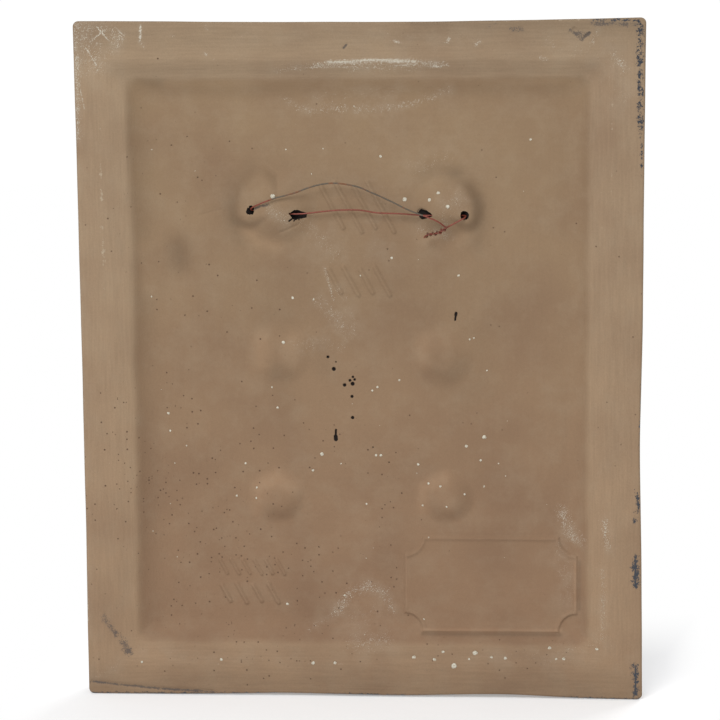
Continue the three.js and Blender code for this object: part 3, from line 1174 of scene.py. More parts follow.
@dataclass(frozen=True)
class Weathering:
    """Where the slab is chalky, dusty, pitted, stained or glazed, and where shade and light are painted
    on it, as values on its vertices.
    """

    # Soft patches, which the clay's finish breaks up into grains and scratches.
    chalk: Strokes = stroke_table(
        (((42, 155.4), (30, 157.4), (19, 158.6)), 3, 0.42),
        (((22, 158.4), (0, 159.6), (-22, 160.4), (-47, 158.4)), 2.2, 0.62),
        (((2, 157.4), (-30, 158)), 5, 0.45), (((16, 159.8), (-8, 160.8), (-30, 160)), 1.1, 1),
        (((30, 156.6), (14, 157.6), (0, 156.8)), 0.8, 0.7), (((-20, 158.2), (-44, 157)), 0.8, 0.7),
        (((39, 140.6), (33, 136.2), (26.1, 133.9), (7.5, 135.2)), 3, 0.5),
        (((2, 134.4), (-21.6, 136), (-36, 140), (-48, 144.8)), 3, 0.5),
        (((22, 141), (-18, 143.5)), 7, 0.3),
        (((14.7, -137), (7.5, -127), (-2.4, -122.5), (-11.6, -126.5)), 4.5, 0.55),
        (((-11.6, -126.5), (-15.3, -136.3)), 3.5, 0.45), (((30.5, -146.8), (14, -137.5)), 2.5, 0.4),
        (((4, -153), (-12, -151)), 8, 0.42), (((4, -143), (-6, -136)), 11, 0.3),
        (((23, 33.4), (14, 24), (8.7, 17.2)), 6, 0.44), (((17, 9.1), (34, 9.1)), 7, 0.33),
        (((19, 50), (16.4, 40), (14.6, 33)), 1.2, 0.6), (((12, 40), (3.3, 19.9), (12, 6)), 4, 0.36),
        (((28, 74), (14, 58)), 9, 0.34), (((-8, 60), (-12, 92)), 9, 0.24),
        (((-33, 71), (-46, 68)), 6, 0.42), (((-28, 104), (-46, 108)), 7, 0.34),
        (((-52, 88), (-40, 72)), 9, 0.38), (((46, 82), (40, 77)), 6, 0.45),
        (((-106.7, -80.8), (-111.5, -93), (-115.8, -96)), 5.5, 0.56),
        (((-129.2, -84), (-131.3, -98.1)), 3.6, 0.55), (((-128.6, -112), (-129.3, -148)), 2.6, 0.46),
        (((-106, -98), (-110, -128)), 7, 0.34), (((148, 181), (148.4, 120)), 2.6, 0.62),
        (((146, 178), (138, 160)), 12, 0.45), (((134.1, 178), (125, 173), (128, 168)), 5, 0.48),
        (((114.1, 173), (113.9, 179.6)), 0.8, 0.95), (((113.4, 168.6), (114.4, 171.4)), 1.2, 0.6),
        (((137, 179), (130.6, 171.4)), 0.5, 0.9), (((139.4, 172.2), (132.6, 177.4)), 0.5, 0.85),
        (((143, 168), (137.6, 159)), 0.5, 0.8), (((147.2, 150), (144.6, 136)), 0.5, 0.75),
        (((127, 178.4), (123, 174.6)), 0.45, 0.8), (((97.1, 173.5),), 1.3, 0.8),
        (((79.5, 178.6),), 1.4, 0.7), (((79.8, 164.5),), 1.2, 0.7),
        (((-19.3, 170.7), (-22, 170)), 1.2, 0.7), (((-46.7, 170), (-48, 171.6)), 1.3, 0.7),
        (((-63.7, 170.1), (-62, 168.6)), 1.4, 0.7), (((-98.3, 160.9), (-95, 161.6)), 1.4, 0.65),
        (((-102.2, 167.1),), 1.2, 0.7), (((-121.4, 168.5), (-125, 175.2)), 2.4, 0.45),
        (((-134.4, 161.6), (-138.2, 156)), 3.6, 0.52), (((-130, 166), (-140, 140)), 10, 0.26),
        (((-100, 170), (-125, 160)), 8, 0.26), (((60, 176), (-60, 172)), 7, 0.2),
        (((134, -166), (146, -172)), 5, 0.3), (((-100, -160), (-128, -150)), 8, 0.3),
        (((-60, -160), (-100, -158)), 5, 0.26), (((40, -161), (120, -160)), 4, 0.22),
        (((148.8, 110), (148.8, -150)), 1.2, 0.28),
    )
    # Worn places along the creases and the outer edges; the line along the top edge is also a painted
    # highlight of that rounded edge.
    worn: Strokes = stroke_table(
        (((137.4, 170), (136.4, 152)), 2, 0.5), (((136.6, 128), (136.4, 120)), 1.6, 0.55),
        (((136.8, 106), (136.4, 88)), 1.6, 0.7), (((136.4, 74), (136, 54)), 1.8, 0.7),
        (((136, 48), (135.8, 34)), 1.5, 0.6), (((135.6, 20), (135.6, -80)), 1.2, 0.36),
        (((-132.4, 150), (-132.4, 90)), 1.3, 0.34), (((-132.4, 40), (-132.4, -60)), 1.2, 0.3),
        (((-127, 150), (-127, -140)), 2.4, 0.2), (((126, 140), (126, -140)), 2.4, 0.16),
        (((120, 161.6), (60, 161.2)), 1.2, 0.3), (((-60, 161.2), (-120, 161.6)), 1.2, 0.3),
        (((100, -164.2), (-110, -164.2)), 1.2, 0.3), (((149.6, 150), (149.4, -150)), 0.9, 0.5),
        # Wear along the top edge, which is also a painted highlight of the rounded edge.
        (((140, 181), (-140, 181)), 0.9, 0.45),
    )
    # Dark smears on the clay, and one painted shadow of the wire.
    dark_smears_and_wire_shadow: Strokes = stroke_table(
        (((141, -139), (137.4, -143), (134, -149)), 3, 0.78), (((131, -152), (127.6, -159)), 3, 0.95),
        (((-60, 178.6), (-80, 178.4)), 2, 0.4), (((-80, 176.4), (-86, 176)), 2.2, 0.8),
        (((-122, 179.4), (-146, 178.2)), 1.9, 0.85), (((-62, 167), (-88, 165.6)), 1.2, 0.5),
        (((-111, 175.6), (-117, 171.6)), 1.5, 0.8), (((-116.6, 170.8), (-120.6, 174)), 1.4, 1),
        (((-115.6, 174.4), (-118.6, 173.2)), 2.4, 0.75), (((7.2, 167.2), (5.6, 168.6)), 0.9, 1),
        (((149.5, -174.9), (128.8, -177.2), (107.4, -178.9), (80, -180.2)), 0.9, 1),
        (((-32.4, -166.9), (-51.9, -166.5)), 1.2, 0.5), (((142.4, -78.4),), 2, 0.3),
        # The last mark is a painted shadow under the wire where it leaves the outer mouth at positive x.
        (((71.7, -115.4),), 0.8, 0.6), (((56.2, 82.4), (52.2, 84), (47.4, 85.2)), 0.9, 1),
    )
    glaze_traces: Strokes = stroke_table(
        (((-146.6, 178), (-146.9, 150), (-147.2, 124)), 2.4, 0.84),
        (((-147.6, 128), (-148, 100)), 1.4, 0.72), (((-146.2, -104), (-146.1, -119)), 2.7, 1),
        (((-145.6, -64.6), (-147.4, -75), (-145.6, -84.1)), 1.7, 0.86),
        (((-148.2, -10), (-148, -60)), 0.9, 0.6),
        (((-145.8, -163), (-146.4, -170), (-146.4, -178)), 2.5, 1),
        (((-122, 181), (-146, 180.4)), 1.1, 0.78), (((140, 182), (40, 181.8)), 0.7, 0.35),
        (((148, -182), (30, -181.2), (-30, -181.6), (-148, -182)), 1.9, 0.8),
    )
    pinhole_patches: Strokes = stroke_table(
        (((130, -70), (128, -101)), 7, 1), (((110, -60), (60, -140)), 42, 0.8),
        (((60, -60), (20, -60)), 32, 0.4), (((-10, -90), (10, -140)), 22, 0.5),
        (((-40, -158), (-110, -158)), 8, 0.4), (((100, 140), (112, 40)), 30, 0.1),
        (((70, 60), (60, 20)), 26, 0.14), (((-60, 120), (-90, 60)), 30, 0.06),
    )
    # Soft light and dark places: some the clay's own tone, many of them painted shade and painted
    # highlights on the relief.
    tones_and_painted_light: Strokes = stroke_table(
        # Painted shade along the cliffs of the top bosses, and painted light on the top bosses' lower
        # flanks.
        (((57.5, 102.9), (65.9, 94.1), (69, 83), (68, 74), (64.4, 66.8)), 5, -0.13),
        (((68.4, 84), (67.6, 76)), 4, -0.06),
        (((-50.8, 100), (-58.4, 94.2), (-63.6, 84.5), (-64.4, 75.3), (-61.4, 64)), 4.6, -0.13),
        (((60.4, 69.4), (54, 64.4), (45, 62)), 4, 0.14),
        (((-33, 101), (-41.6, 103.4), (-50, 101.8)), 4, -0.1),
        # Painted light on the lower flank of the top boss at negative x; painted shade in the dent at x
        # 97.
        (((-34, 67), (-46, 65), (-54, 68)), 5, 0.12), (((97.2, 62), (96.4, 53)), 6, -0.2),
        # Painted shade along the foot of the recess's side at positive x, and a broad darker place across
        # the middle.
        (((113, 120), (113, -140)), 6, -0.06), (((60, 40), (-60, 38)), 26, -0.05),
        (((48, 28), (42, 24)), 9, -0.05), (((22, 8), (20, -4)), 6, -0.08),
        # Painted shade under the middle bosses and beside the one at negative x.
        (((43, -10), (40, -22)), 9, -0.06), (((-46, -10), (-54, -18)), 10, -0.08),
        (((-62, 14), (-66, -14)), 9, -0.06), (((50, 90), (56, 76)), 6, 0.06),
        # Painted highlights on the flanks of the middle and bottom bosses, mostly on those towards
        # positive x and upwards.
        (((54, 12), (54, -1)), 4.6, 0.15), (((36.5, 12), (36, -1)), 4.4, 0.13),
        (((-33, 12), (-33, 0)), 4, 0.12), (((-40, 14), (-56, 8)), 4, 0.05),
        (((56, -80), (56, -68), (46, -63), (38, -68)), 4.2, 0.17),
        (((-32.5, -79), (-32.5, -68), (-44, -63)), 3.6, 0.16), (((-44, -72), (-47, -76)), 5, 0.06),
        # The lands darker along the top and the bottom.
        (((0, -80), (-2, -130)), 9, 0.04), (((145, 176), (-145, 176)), 12, -0.14),
        (((-30, 180), (-144, 179)), 4, -0.1), (((-142, -90), (-141, -150)), 9, -0.04),
        # Painted shade on the top band, which faces down; the top side's wall lighter.
        (((126, 155.6), (-122, 155.6)), 5, -0.12), (((100, 149.4), (-112, 149.4)), 3.2, 0.17),
        (((100, -158), (-110, -158)), 5, -0.05), (((150, -177), (-150, -177)), 11, -0.17),
        (((116, 62), (114, 40)), 4, 0.1), (((140, -120), (136, -165)), 12, -0.04),
        # Painted shadows outside the label's lip along its bottom and its side at negative x, and painted
        # highlights along the lip there and on its side at positive x.
        (((-32, -148.2), (-106, -148.2)), 1, -0.26), (((-32, -146), (-106, -146)), 0.9, 0.16),
        (((-116, -108), (-116, -134)), 1.1, -0.18), (((-113.8, -108), (-113.8, -134)), 0.9, 0.14),
        (((-24, -108), (-24, -134)), 0.9, 0.12),
    )
    # How deep on the slab's sides the front's glaze ends, and how that line wavers.
    glaze_depth: float = 9.0
    glaze_line: Ripple = Ripple(seed=31, wavelength=28, height=1.6)
    # Pinholes away from the patches.
    stray_pinholes: float = 0.05

    def values(self, relief: BackRelief, x: Array, z: Array, depth: Array, side: Side) -> dict:
        """Works out every value for a set of vertices.

        Args:
            relief: The back's relief.
            x: Each vertex's place across.
            z: Each vertex's place upwards.
            depth: Each vertex's depth.
            side: Whether the vertices belong to the back and sides, or to the front.

        Returns:
            Arrays by attribute name.
        """
        names = ("chalk", "worn", "smudge_and_shadow", "glaze", "pinholes", "tone_and_painted_light", "panel", "upright", "hollow")
        if side is Side.FRONT:
            made = {name: np.zeros_like(x) for name in names}
            made["glaze"] = np.ones_like(x)
            return made
        inset = relief.recess.inset(x, z)
        glaze = strongest(self.glaze_traces, x, z)
        line = self.glaze_depth + self.glaze_line.at(x + z, x - z)
        glaze = np.maximum(glaze, smoothstep(depth - line, -2.0, 2.0) * (inset < -4))
        lean = np.abs(x) / 150 - np.abs(z) / 182
        values = (
            strongest(self.chalk, x, z),
            strongest(self.worn, x, z),
            strongest(self.dark_smears_and_wire_shadow, x, z),
            glaze,
            strongest(self.pinhole_patches, x, z) + self.stray_pinholes,
            summed(self.tones_and_painted_light, x, z),
            smoothstep(inset, relief.recess.band - 0.6, relief.recess.band + 3.4),
            smoothstep(lean, -0.05, 0.05),
            strongest(relief.pit_strokes(), x, z),
        )
        return dict(zip(names, values))


@dataclass
class Slab:
    """The whole plaque as one piece of clay.

    Args:
        datum: Where it lies.
        finish: Its material.
        relief: Shape of its back.
        weathering: Wear and dirt.
        draft: How much smaller its front is on each side.
        back_round: Radius of its edge at the back.
        front_round: Radius of its edge at the front.
        relief_tolerance: How far the back's mesh may cut a curve short.
        front_tolerance: The same for the front.
        mark_tolerance: How coarse the mesh may make a chalky or worn mark.
        back_turns: Turns round the back's edge at which rings lie, in degrees.
        front_turns: The same round the front's edge.
        side_rings: Rings on the plain side.
        corner_reach: How far from a corner the rings' vertices are close together.
        corner_step: Their distance there.
        ring_step: Their distance elsewhere.
        sharp_angle: Edges steeper than this are shaded sharp, in degrees.
    """

    datum: Datum
    finish: bpy.types.Material
    relief: BackRelief = field(default_factory=BackRelief)
    weathering: Weathering = field(default_factory=Weathering)
    draft: float = 3.0
    back_round: float = 1.5
    front_round: float = 2.5
    relief_tolerance: float = 0.064
    front_tolerance: float = 0.18
    mark_tolerance: float = 0.45
    back_turns: tuple[float, ...] = (18, 36, 54, 72, 90)
    front_turns: tuple[float, ...] = (20, 40, 60, 75)
    side_rings: int = 8
    corner_reach: float = 4.0
    corner_step: float = 0.5
    ring_step: float = 1.9
    sharp_angle: float = 50.0

    def __post_init__(self) -> None:
        """Works out what follows from the datum."""
        self.outline = Outline(self.datum.width / 2, self.datum.height / 2)
        self.front = FrontRelief(self.datum.thickness)

    def stations(self) -> list[Point]:
        """Depth and inset of each ring from the back sheet to the front sheet.

        Returns:
            Pairs of depth and inset.
        """
        thickness = self.datum.thickness
        made = []
        for turn in np.radians(self.back_turns):
            made.append((self.back_round * (1 - math.cos(turn)), self.back_round * (1 - math.sin(turn))))
        top, bottom = self.back_round, thickness - self.front_round
        for share in np.linspace(0, 1, self.side_rings + 1)[1:]:
            made.append((top + share * (bottom - top), share * self.draft))
        for turn in np.radians(self.front_turns):
            out = self.draft + self.front_round * (1 - math.cos(turn))
            made.append((bottom + self.front_round * math.sin(turn), out))
        return made

    def ring_turns(self) -> tuple[Array, Array, Array]:
        """Where the rings' vertices lie: how far round, and on the plain rectangle.

        Returns:
            Shares of the way round, places across and places upwards.
        """
        half_x, half_z = self.outline.half_x, self.outline.half_z
        reach = self.corner_reach
        near_corner = np.arange(0, reach, self.corner_step)
        sides = []
        for half in (half_x, half_z):
            count = round((2 * half - 2 * reach) / self.ring_step) + 1
            middle = np.linspace(reach, 2 * half - reach, count)
            sides.append(np.concatenate([near_corner, middle, 2 * half - near_corner[:0:-1]]))
        width, height = 2 * half_x, 2 * half_z
        u = np.concatenate([sides[0] - half_x, np.full(len(sides[1]), half_x),
                            half_x - sides[0], np.full(len(sides[1]), -half_x)])
        v = np.concatenate([np.full(len(sides[0]), -half_z), sides[1] - half_z,
                            np.full(len(sides[0]), half_z), half_z - sides[1]])
        turn = np.concatenate([sides[0], width + sides[1], width + height + sides[0],
                               2 * width + height + sides[1]])
        return turn / (2 * width + 2 * height), u, v

    def shell(self) -> tuple[bpy.types.Mesh, dict]:
        """Makes the closed skin before the tunnels are opened.

        Returns:
            The mesh in row millimetres, and its vertex values by name.
        """
        last_inset = self.draft + self.front_round
        grid = AdaptiveGrid(self.outline.half_x, self.outline.half_z)
        back = grid.mesh(
            lambda u, v: self.outline.place(u, v, self.back_round),
            self.relief.depth,
            self.back_layers,
        )
        front = replace(grid, levels=4).mesh(
            lambda u, v: self.outline.place(u, v, last_inset),
            self.front.depth,
            lambda x, z, depth: [depth / self.front_tolerance],
        )
        turn, u, v = self.ring_turns()
        x, z, depth = [back.x], [back.z], [back.depth]
        faces = [back.triangles[:, ::-1]]
        loop, loop_turn, count = back.rim, back.rim_turn, len(back.x)
        for ring_depth, inset in self.stations():
            ring_x, ring_z = self.outline.place(u, v, inset)
            x.append(ring_x)
            z.append(ring_z)
            depth.append(np.full(len(u), ring_depth))
            ring = np.arange(count, count + len(u))
            faces.append(zipped(loop, loop_turn, ring, turn))
            loop, loop_turn, count = ring, turn, count + len(u)
        faces.append(zipped(loop, loop_turn, front.rim + count, front.rim_turn))
        faces.append(front.triangles + count)
        x, z, depth = (np.concatenate(parts) for parts in (x, z, depth))
        values = self.weathering.values(self.relief, x, z, depth, Side.BACK)
        plain = self.weathering.values(self.relief, front.x, front.z, front.depth, Side.FRONT)
        values = {name: np.append(values[name], plain[name]) for name in values}
        points = np.concatenate(
            [self.datum.to_row(x, z, depth), self.datum.to_row(front.x, front.z, front.depth)]
        )
        values["relief"] = np.append(np.zeros(len(x)), self.front.rise(front.x, front.z))
        LOG.info("slab sheets: back %d, front %d triangles", len(back.triangles), len(front.triangles))
        return triangle_mesh("plaque_shell", points, np.concatenate(faces)), values

    def back_layers(self, x: Array, z: Array, depth: Array) -> list[Array]:
        """The layers that decide where the back's cells are split.

        Args:
            x: Places across.
            z: Places upwards.
            depth: Depths.

        Returns:
            Each layer over its tolerance.
        """
        marks = self.weathering
        lines = (*marks.chalk, *marks.worn, *marks.dark_smears_and_wire_shadow, *marks.glaze_traces)
        return [depth / self.relief_tolerance, strongest(lines, x, z) / self.mark_tolerance]

    def build(self) -> bpy.types.Object:
        """Makes the plaque, opens its tunnels and dresses it.

        Returns:
            The finished piece, riding on the root body.
        """
        mesh, values = self.shell()
        for name, value in values.items():
            attribute = mesh.attributes.new(name, "FLOAT", "POINT")
            attribute.data.foreach_set("value", value.astype(np.float32))
        blank = linked("plaque_blank", mesh)
        cutters = []
        for index, tunnel in enumerate(self.relief.tunnels):
            shape = triangle_mesh("cutter", *tunnel.cutter(self.datum, self.relief.recess.depth))
            # The tunnel walls get the near black of painted shade and grime.
            inside = shape.attributes.new("hollow", "FLOAT", "POINT")
            inside.data.foreach_set("value", np.full(len(shape.vertices), 4.0, np.float32))
            cutters.append(linked(f"cutter_{index}", shape))
            cut = blank.modifiers.new("tunnel", "BOOLEAN")
            cut.solver, cut.operation, cut.object = "MANIFOLD", "DIFFERENCE", cutters[-1]
        finished = evaluated_mesh(blank)
        for used in (blank, *cutters):
            bpy.data.objects.remove(used)
        finished.transform(Matrix.Scale(MM, 4))
        finished.name = "plaque_body"
        finished.materials.clear()
        finished.materials.append(self.finish)
        finished.shade_smooth()
        finished.set_sharp_from_angle(angle=math.radians(self.sharp_angle))
        piece = linked("plaque_body", finished)
        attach(piece, ROOT)
        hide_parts("plaque")
        LOG.info("plaque_body: %d vertices, %d faces", len(finished.vertices), len(finished.polygons))
        return piece


# ------------------------------------------------------------------------------ node graphs

Number = Union[float, "Term"]


class Term:
    """A node's output that takes part in Python arithmetic."""

    def __init__(self, graph: "Graph", socket: bpy.types.NodeSocket) -> None:
        """Wraps an output socket of a graph's node."""
        self.graph = graph
        self.socket = socket

    def math(self, operation: str, *values: Number) -> "Term":
        """Adds a Math node for an operation on values."""
        inputs = dict(enumerate(values))
        return self.graph.add("ShaderNodeMath", inputs, {"operation": operation})

    def __add__(self, other: Number) -> "Term":
        """Adds."""
        return self.math("ADD", self, other)

    __radd__ = __add__

    def __sub__(self, other: Number) -> "Term":
        """Subtracts."""
        return self.math("SUBTRACT", self, other)

    def __rsub__(self, other: Number) -> "Term":
        """Subtracts this from another value."""
        return self.math("SUBTRACT", other, self)

    def __mul__(self, other: Number) -> "Term":
        """Multiplies."""
        return self.math("MULTIPLY", self, other)

    __rmul__ = __mul__

    def __truediv__(self, other: Number) -> "Term":
        """Divides."""
        return self.math("DIVIDE", self, other)

    def __abs__(self) -> "Term":
        """Drops the sign."""
        return self.math("ABSOLUTE", self)

    def greater(self, other: Number) -> "Term":
        """Takes the greater of two values."""
        return self.math("MAXIMUM", self, other)

    def clamped(self) -> "Term":
        """Holds the value between 0 and 1."""
        return self.graph.add("ShaderNodeClamp", {"Value": self})

    def step(self, low: Number, high: Number) -> "Term":
        """Rises smoothly from 0 at low to 1 at high."""
        inputs = {"Value": self, "From Min": low, "From Max": high}
        return self.graph.add("ShaderNodeMapRange", inputs, {"interpolation_type": "SMOOTHSTEP"})


class Graph:
    """A node tree and the one way to add a node to it."""

    def __init__(self, tree: bpy.types.NodeTree) -> None:
        """Starts with an empty tree."""
        self.tree = tree
        tree.nodes.clear()

    def add(
        self,
        kind: str,
        inputs: dict[Union[str, int], Any] | None = None,
        settings: dict[str, Any] | None = None,
        output: Union[str, int] = 0,
    ) -> Term:
        """Adds a node.

        Args:
            kind: The node's type.
            inputs: Values or links of its sockets, by name or number.
            settings: Its own settings, such as a Math node's operation, set first.
            output: The output that is wanted.

        Returns:
            The wanted output.
        """
        node = self.tree.nodes.new(kind)
        for name, value in (settings or {}).items():
            setattr(node, name, value)
        for name, value in (inputs or {}).items():
            self.feed(node.inputs[name], value)
        return Term(self, node.outputs[output]) if len(node.outputs) else Term(self, None)

    def feed(self, socket: bpy.types.NodeSocket, value: Any) -> None:
        """Links a term to a socket, or sets a plain value on it.

        Args:
            socket: The input.
            value: The term or the value.
        """
        if isinstance(value, Term):
            self.tree.links.new(value.socket, socket)
        else:
            socket.default_value = value


class ShaderGraph(Graph):
    """A material's node tree, with what the finishes share."""

    def __init__(self, name: str) -> None:
        """Makes the material and its empty tree.

        Args:
            name: The material's name.
        """
        self.material = bpy.data.materials.new(name)
        self.material.use_nodes = True
        super().__init__(self.material.node_tree)

    def millimetres(self, stretch: Sequence[float] = (1, 1, 1), lean: float = 0.0) -> Term:
        """Object coordinates in millimetres.

        Args:
            stretch: How much longer than wide a pattern is along each axis.
            lean: The pattern's turn on the slab, in degrees.

        Returns:
            The coordinates.
        """
        where = self.add("ShaderNodeTexCoord", output="Object")
        turned = {"Vector": where, "Rotation": (0.0, math.radians(lean), 0.0)}
        if lean:
            where = self.add("ShaderNodeMapping", turned)
        scale = tuple(1 / (MM * share) for share in stretch)
        return self.add("ShaderNodeMapping", {"Vector": where, "Scale": scale})

    def noise(self, where: Term, size: float, detail: float = 3.0, rough: float = 0.5) -> Term:
        """Noise whose lumps are about size millimetres across."""
        inputs = {"Vector": where, "Scale": 1 / size, "Detail": detail, "Roughness": rough}
        return self.add("ShaderNodeTexNoise", inputs)

    def attribute(self, name: str) -> Term:
        """A value kept on the vertices."""
        settings = {"attribute_name": name, "attribute_type": "GEOMETRY"}
        return self.add("ShaderNodeAttribute", None, settings, "Fac")

    def mix(self, share: Number, low: Union[Term, Colour], high: Union[Term, Colour]) -> Term:
        """Mixes two colours."""
        inputs = {0: share, 6: low, 7: high}
        return self.add("ShaderNodeMix", inputs, {"data_type": "RGBA"}, 2)

    def shaded(self, colour: Term, factor: Term) -> Term:
        """Multiplies a colour by a number."""
        inputs = {0: colour, "Scale": factor}
        return self.add("ShaderNodeVectorMath", inputs, {"operation": "SCALE"})

    def finish(self, **inputs: Any) -> bpy.types.Material:
        """Ends the tree in a Principled surface.

        Args:
            inputs: Its sockets by name, with underscores for spaces.

        Returns:
            The material.
        """
        named = {name.replace("_", " "): value for name, value in inputs.items()}
        surface = self.add("ShaderNodeBsdfPrincipled", named)
        self.add("ShaderNodeOutputMaterial", {"Surface": surface})
        return self.material


# ------------------------------------------------------------------------------ finishes


@dataclass(frozen=True)
class StonewareFinish:
    """Unglazed brown stoneware with dust, chalk and pinholes, painted shade and painted highlights on its
    relief, and dark glaze on its front.
    """

    rim_upper: Colour = srgb(142, 121, 97)
    rim_lower: Colour = srgb(144, 119, 94)
    panel_upper: Colour = srgb(132, 110, 85)
    panel_lower: Colour = srgb(131, 104, 81)
    pale: Colour = srgb(146, 129, 107)
    deep: Colour = srgb(111, 86, 67)
    chalk: Colour = srgb(188, 182, 168)
    worn: Colour = srgb(168, 154, 133)
    # Painted shade of pinholes, which the mesh lacks.
    pinhole_shade: Colour = srgb(80, 58, 44)
    # Near black painted into pits and tunnel walls: painted shade, with grime.
    hollow_shade_and_grime: Colour = srgb(21, 14, 11)
    # Colour of the dark smears and of the wire's painted shadow.
    smudge_and_shadow: Colour = srgb(70, 66, 66)
    glaze: Colour = srgb(40, 44, 52)
    glaze_thin: Colour = srgb(98, 66, 42)

    def material(self) -> bpy.types.Material:
        """Builds the clay's material.

        Returns:
            The material.
        """
        graph = ShaderGraph("stoneware")
        where = graph.millimetres()
        mottle = graph.noise(where, 48, 2)
        cloud = graph.noise(where, 11, 4, 0.6)
        patch = graph.noise(where, 3.2, 3, 0.6)
        grain = graph.noise(where, 0.9, 3, 0.6)
        fine = graph.noise(where, 0.36, 2, 0.6)
        scratch = graph.noise(graph.millimetres((1, 1, 9), 24), 0.55, 2)
        streak = self.streaks(graph)
        body = self.clay(graph)
        body = graph.mix(((mottle - 0.5) * 1.2 + 0.14).clamped(), body, self.deep)
        body = graph.mix(((cloud - 0.44) * 0.75).clamped(), body, self.pale)
        rim = 1 - graph.attribute("panel")
        grey = (grain * 0.5 + fine * 0.5 - 0.5) * 0.34 + (streak - 0.5) * (rim * 0.16 + 0.06)
        # Lightens and darkens the clay by its tone, which holds painted shade and painted highlights too,
        # and by its grain and streaks.
        body = graph.shaded(body, 1 + graph.attribute("tone_and_painted_light") + grey)
        broken = fine * 0.52 + scratch * 0.16 + grain * 0.2 + patch * 0.12
        chalk = self.broken_up(graph.attribute("chalk"), broken)
        worn = self.broken_up(graph.attribute("worn"), patch * 0.55 + fine * 0.25 + streak * 0.2)
        # Dark smears, among them a painted shadow of the wire.
        smudge_and_shadow = self.broken_up(graph.attribute("smudge_and_shadow"), fine * 0.4 + grain * 0.25 + patch * 0.35)
        haze = graph.attribute("chalk") * cloud.step(0.3, 0.7) * 0.14
        body = graph.mix((chalk * 0.72 + haze).clamped(), body, self.chalk)
        # Worn places, and a painted highlight along the top edge.
        body = graph.mix(worn * 0.6, body, self.worn)
        body = graph.mix(smudge_and_shadow * 0.75, body, self.smudge_and_shadow)
        # Pinholes painted dark as painted shade, with a small dip in the bump.
        pinholes = self.pinholes(graph, where)
        body = graph.mix(pinholes * 0.85, body, self.pinhole_shade)
        # Pits and tunnel walls painted near black: painted shade in the holes, with grime.
        hollow = graph.attribute("hollow").step(0.15, 0.55)
        body = graph.mix(hollow, body, self.hollow_shade_and_grime)
        glazed = graph.attribute("glaze")
        glaze = self.broken_up(glazed, fine * 0.25 + grain * 0.3 + patch * 0.45)
        glaze = glaze.greater(glazed.step(0.86, 0.96))
        thin = graph.attribute("relief").step(0.9, 2.6) * cloud.step(0.3, 0.7)
        glassy = graph.mix(thin * 0.8, self.glaze, self.glaze_thin)
        body = graph.mix(glaze, body, glassy)
        height = grain * 0.5 + fine * 0.3 + cloud * 0.8 + streak * rim * 0.5
        height = height + chalk * 0.3 + worn * 0.3 - pinholes * 1.4
        bump = {"Height": height * (1 - glaze * 0.85), "Strength": 0.6, "Distance": 0.00025}
        return graph.finish(
            Base_Color=body,
            Roughness=(0.88 - glaze * 0.62 + chalk * 0.08).clamped(),
            Specular_IOR_Level=0.3,
            Coat_Weight=glaze * 0.5,
            Coat_Roughness=0.12,
            Normal=graph.add("ShaderNodeBump", bump),
        )

    def clay(self, graph: ShaderGraph) -> Term:
        """The clay's own colour: redder and darker downwards, and darker on the panel.

        Args:
            graph: The material's tree.

        Returns:
            The colour.
        """
        where = graph.add("ShaderNodeTexCoord", output="Object")
        up = graph.add("ShaderNodeSeparateXYZ", {"Vector": where}, output="Z").step(-0.28, 0.06)
        rim = graph.mix(up, self.rim_lower, self.rim_upper)
        panel = graph.mix(up, self.panel_lower, self.panel_upper)
        return graph.mix(graph.attribute("panel"), rim, panel)

    @staticmethod
    def streaks(graph: ShaderGraph) -> Term:
        """Fine wiping marks that run along the nearest side.

        Args:
            graph: The material's tree.

        Returns:
            A value on both sides of a half.
        """
        along_z = graph.noise(graph.millimetres((1, 1, 16)), 1.1, 3)
        along_x = graph.noise(graph.millimetres((16, 1, 1)), 1.1, 3)
        upright = graph.attribute("upright")
        return along_z * upright + along_x * (1 - upright)

    @staticmethod
    def broken_up(value: Term, pattern: Term) -> Term:
        """Breaks a soft value up by a pattern: nothing at 0, all of it at 1."""
        threshold = 0.66 - value * 0.25
        return pattern.step(threshold, threshold + 0.05) * value.step(0.02, 0.42)

    @staticmethod
    def pinholes(graph: ShaderGraph, where: Term) -> Term:
        """Tiny dark holes, a few in each patch of clay.

        Args:
            graph: The material's tree.
            where: Coordinates in millimetres.

        Returns:
            1 in a pinhole, 0 elsewhere.
        """
        cells = {"Vector": where, "Scale": 1 / 1.5, "Randomness": 1.0}
        distance = graph.add("ShaderNodeTexVoronoi", cells, output="Distance")
        tint = graph.add("ShaderNodeTexVoronoi", cells, output="Color")
        draw = graph.add("ShaderNodeSeparateColor", {"Color": tint}, output="Red")
        size = graph.add("ShaderNodeSeparateColor", {"Color": tint}, output="Green")
        chosen = (graph.attribute("pinholes") * 0.27 - draw).step(0.0, 0.02)
        return chosen * (0.13 + size * size * 0.24 - distance).step(0.0, 0.08)


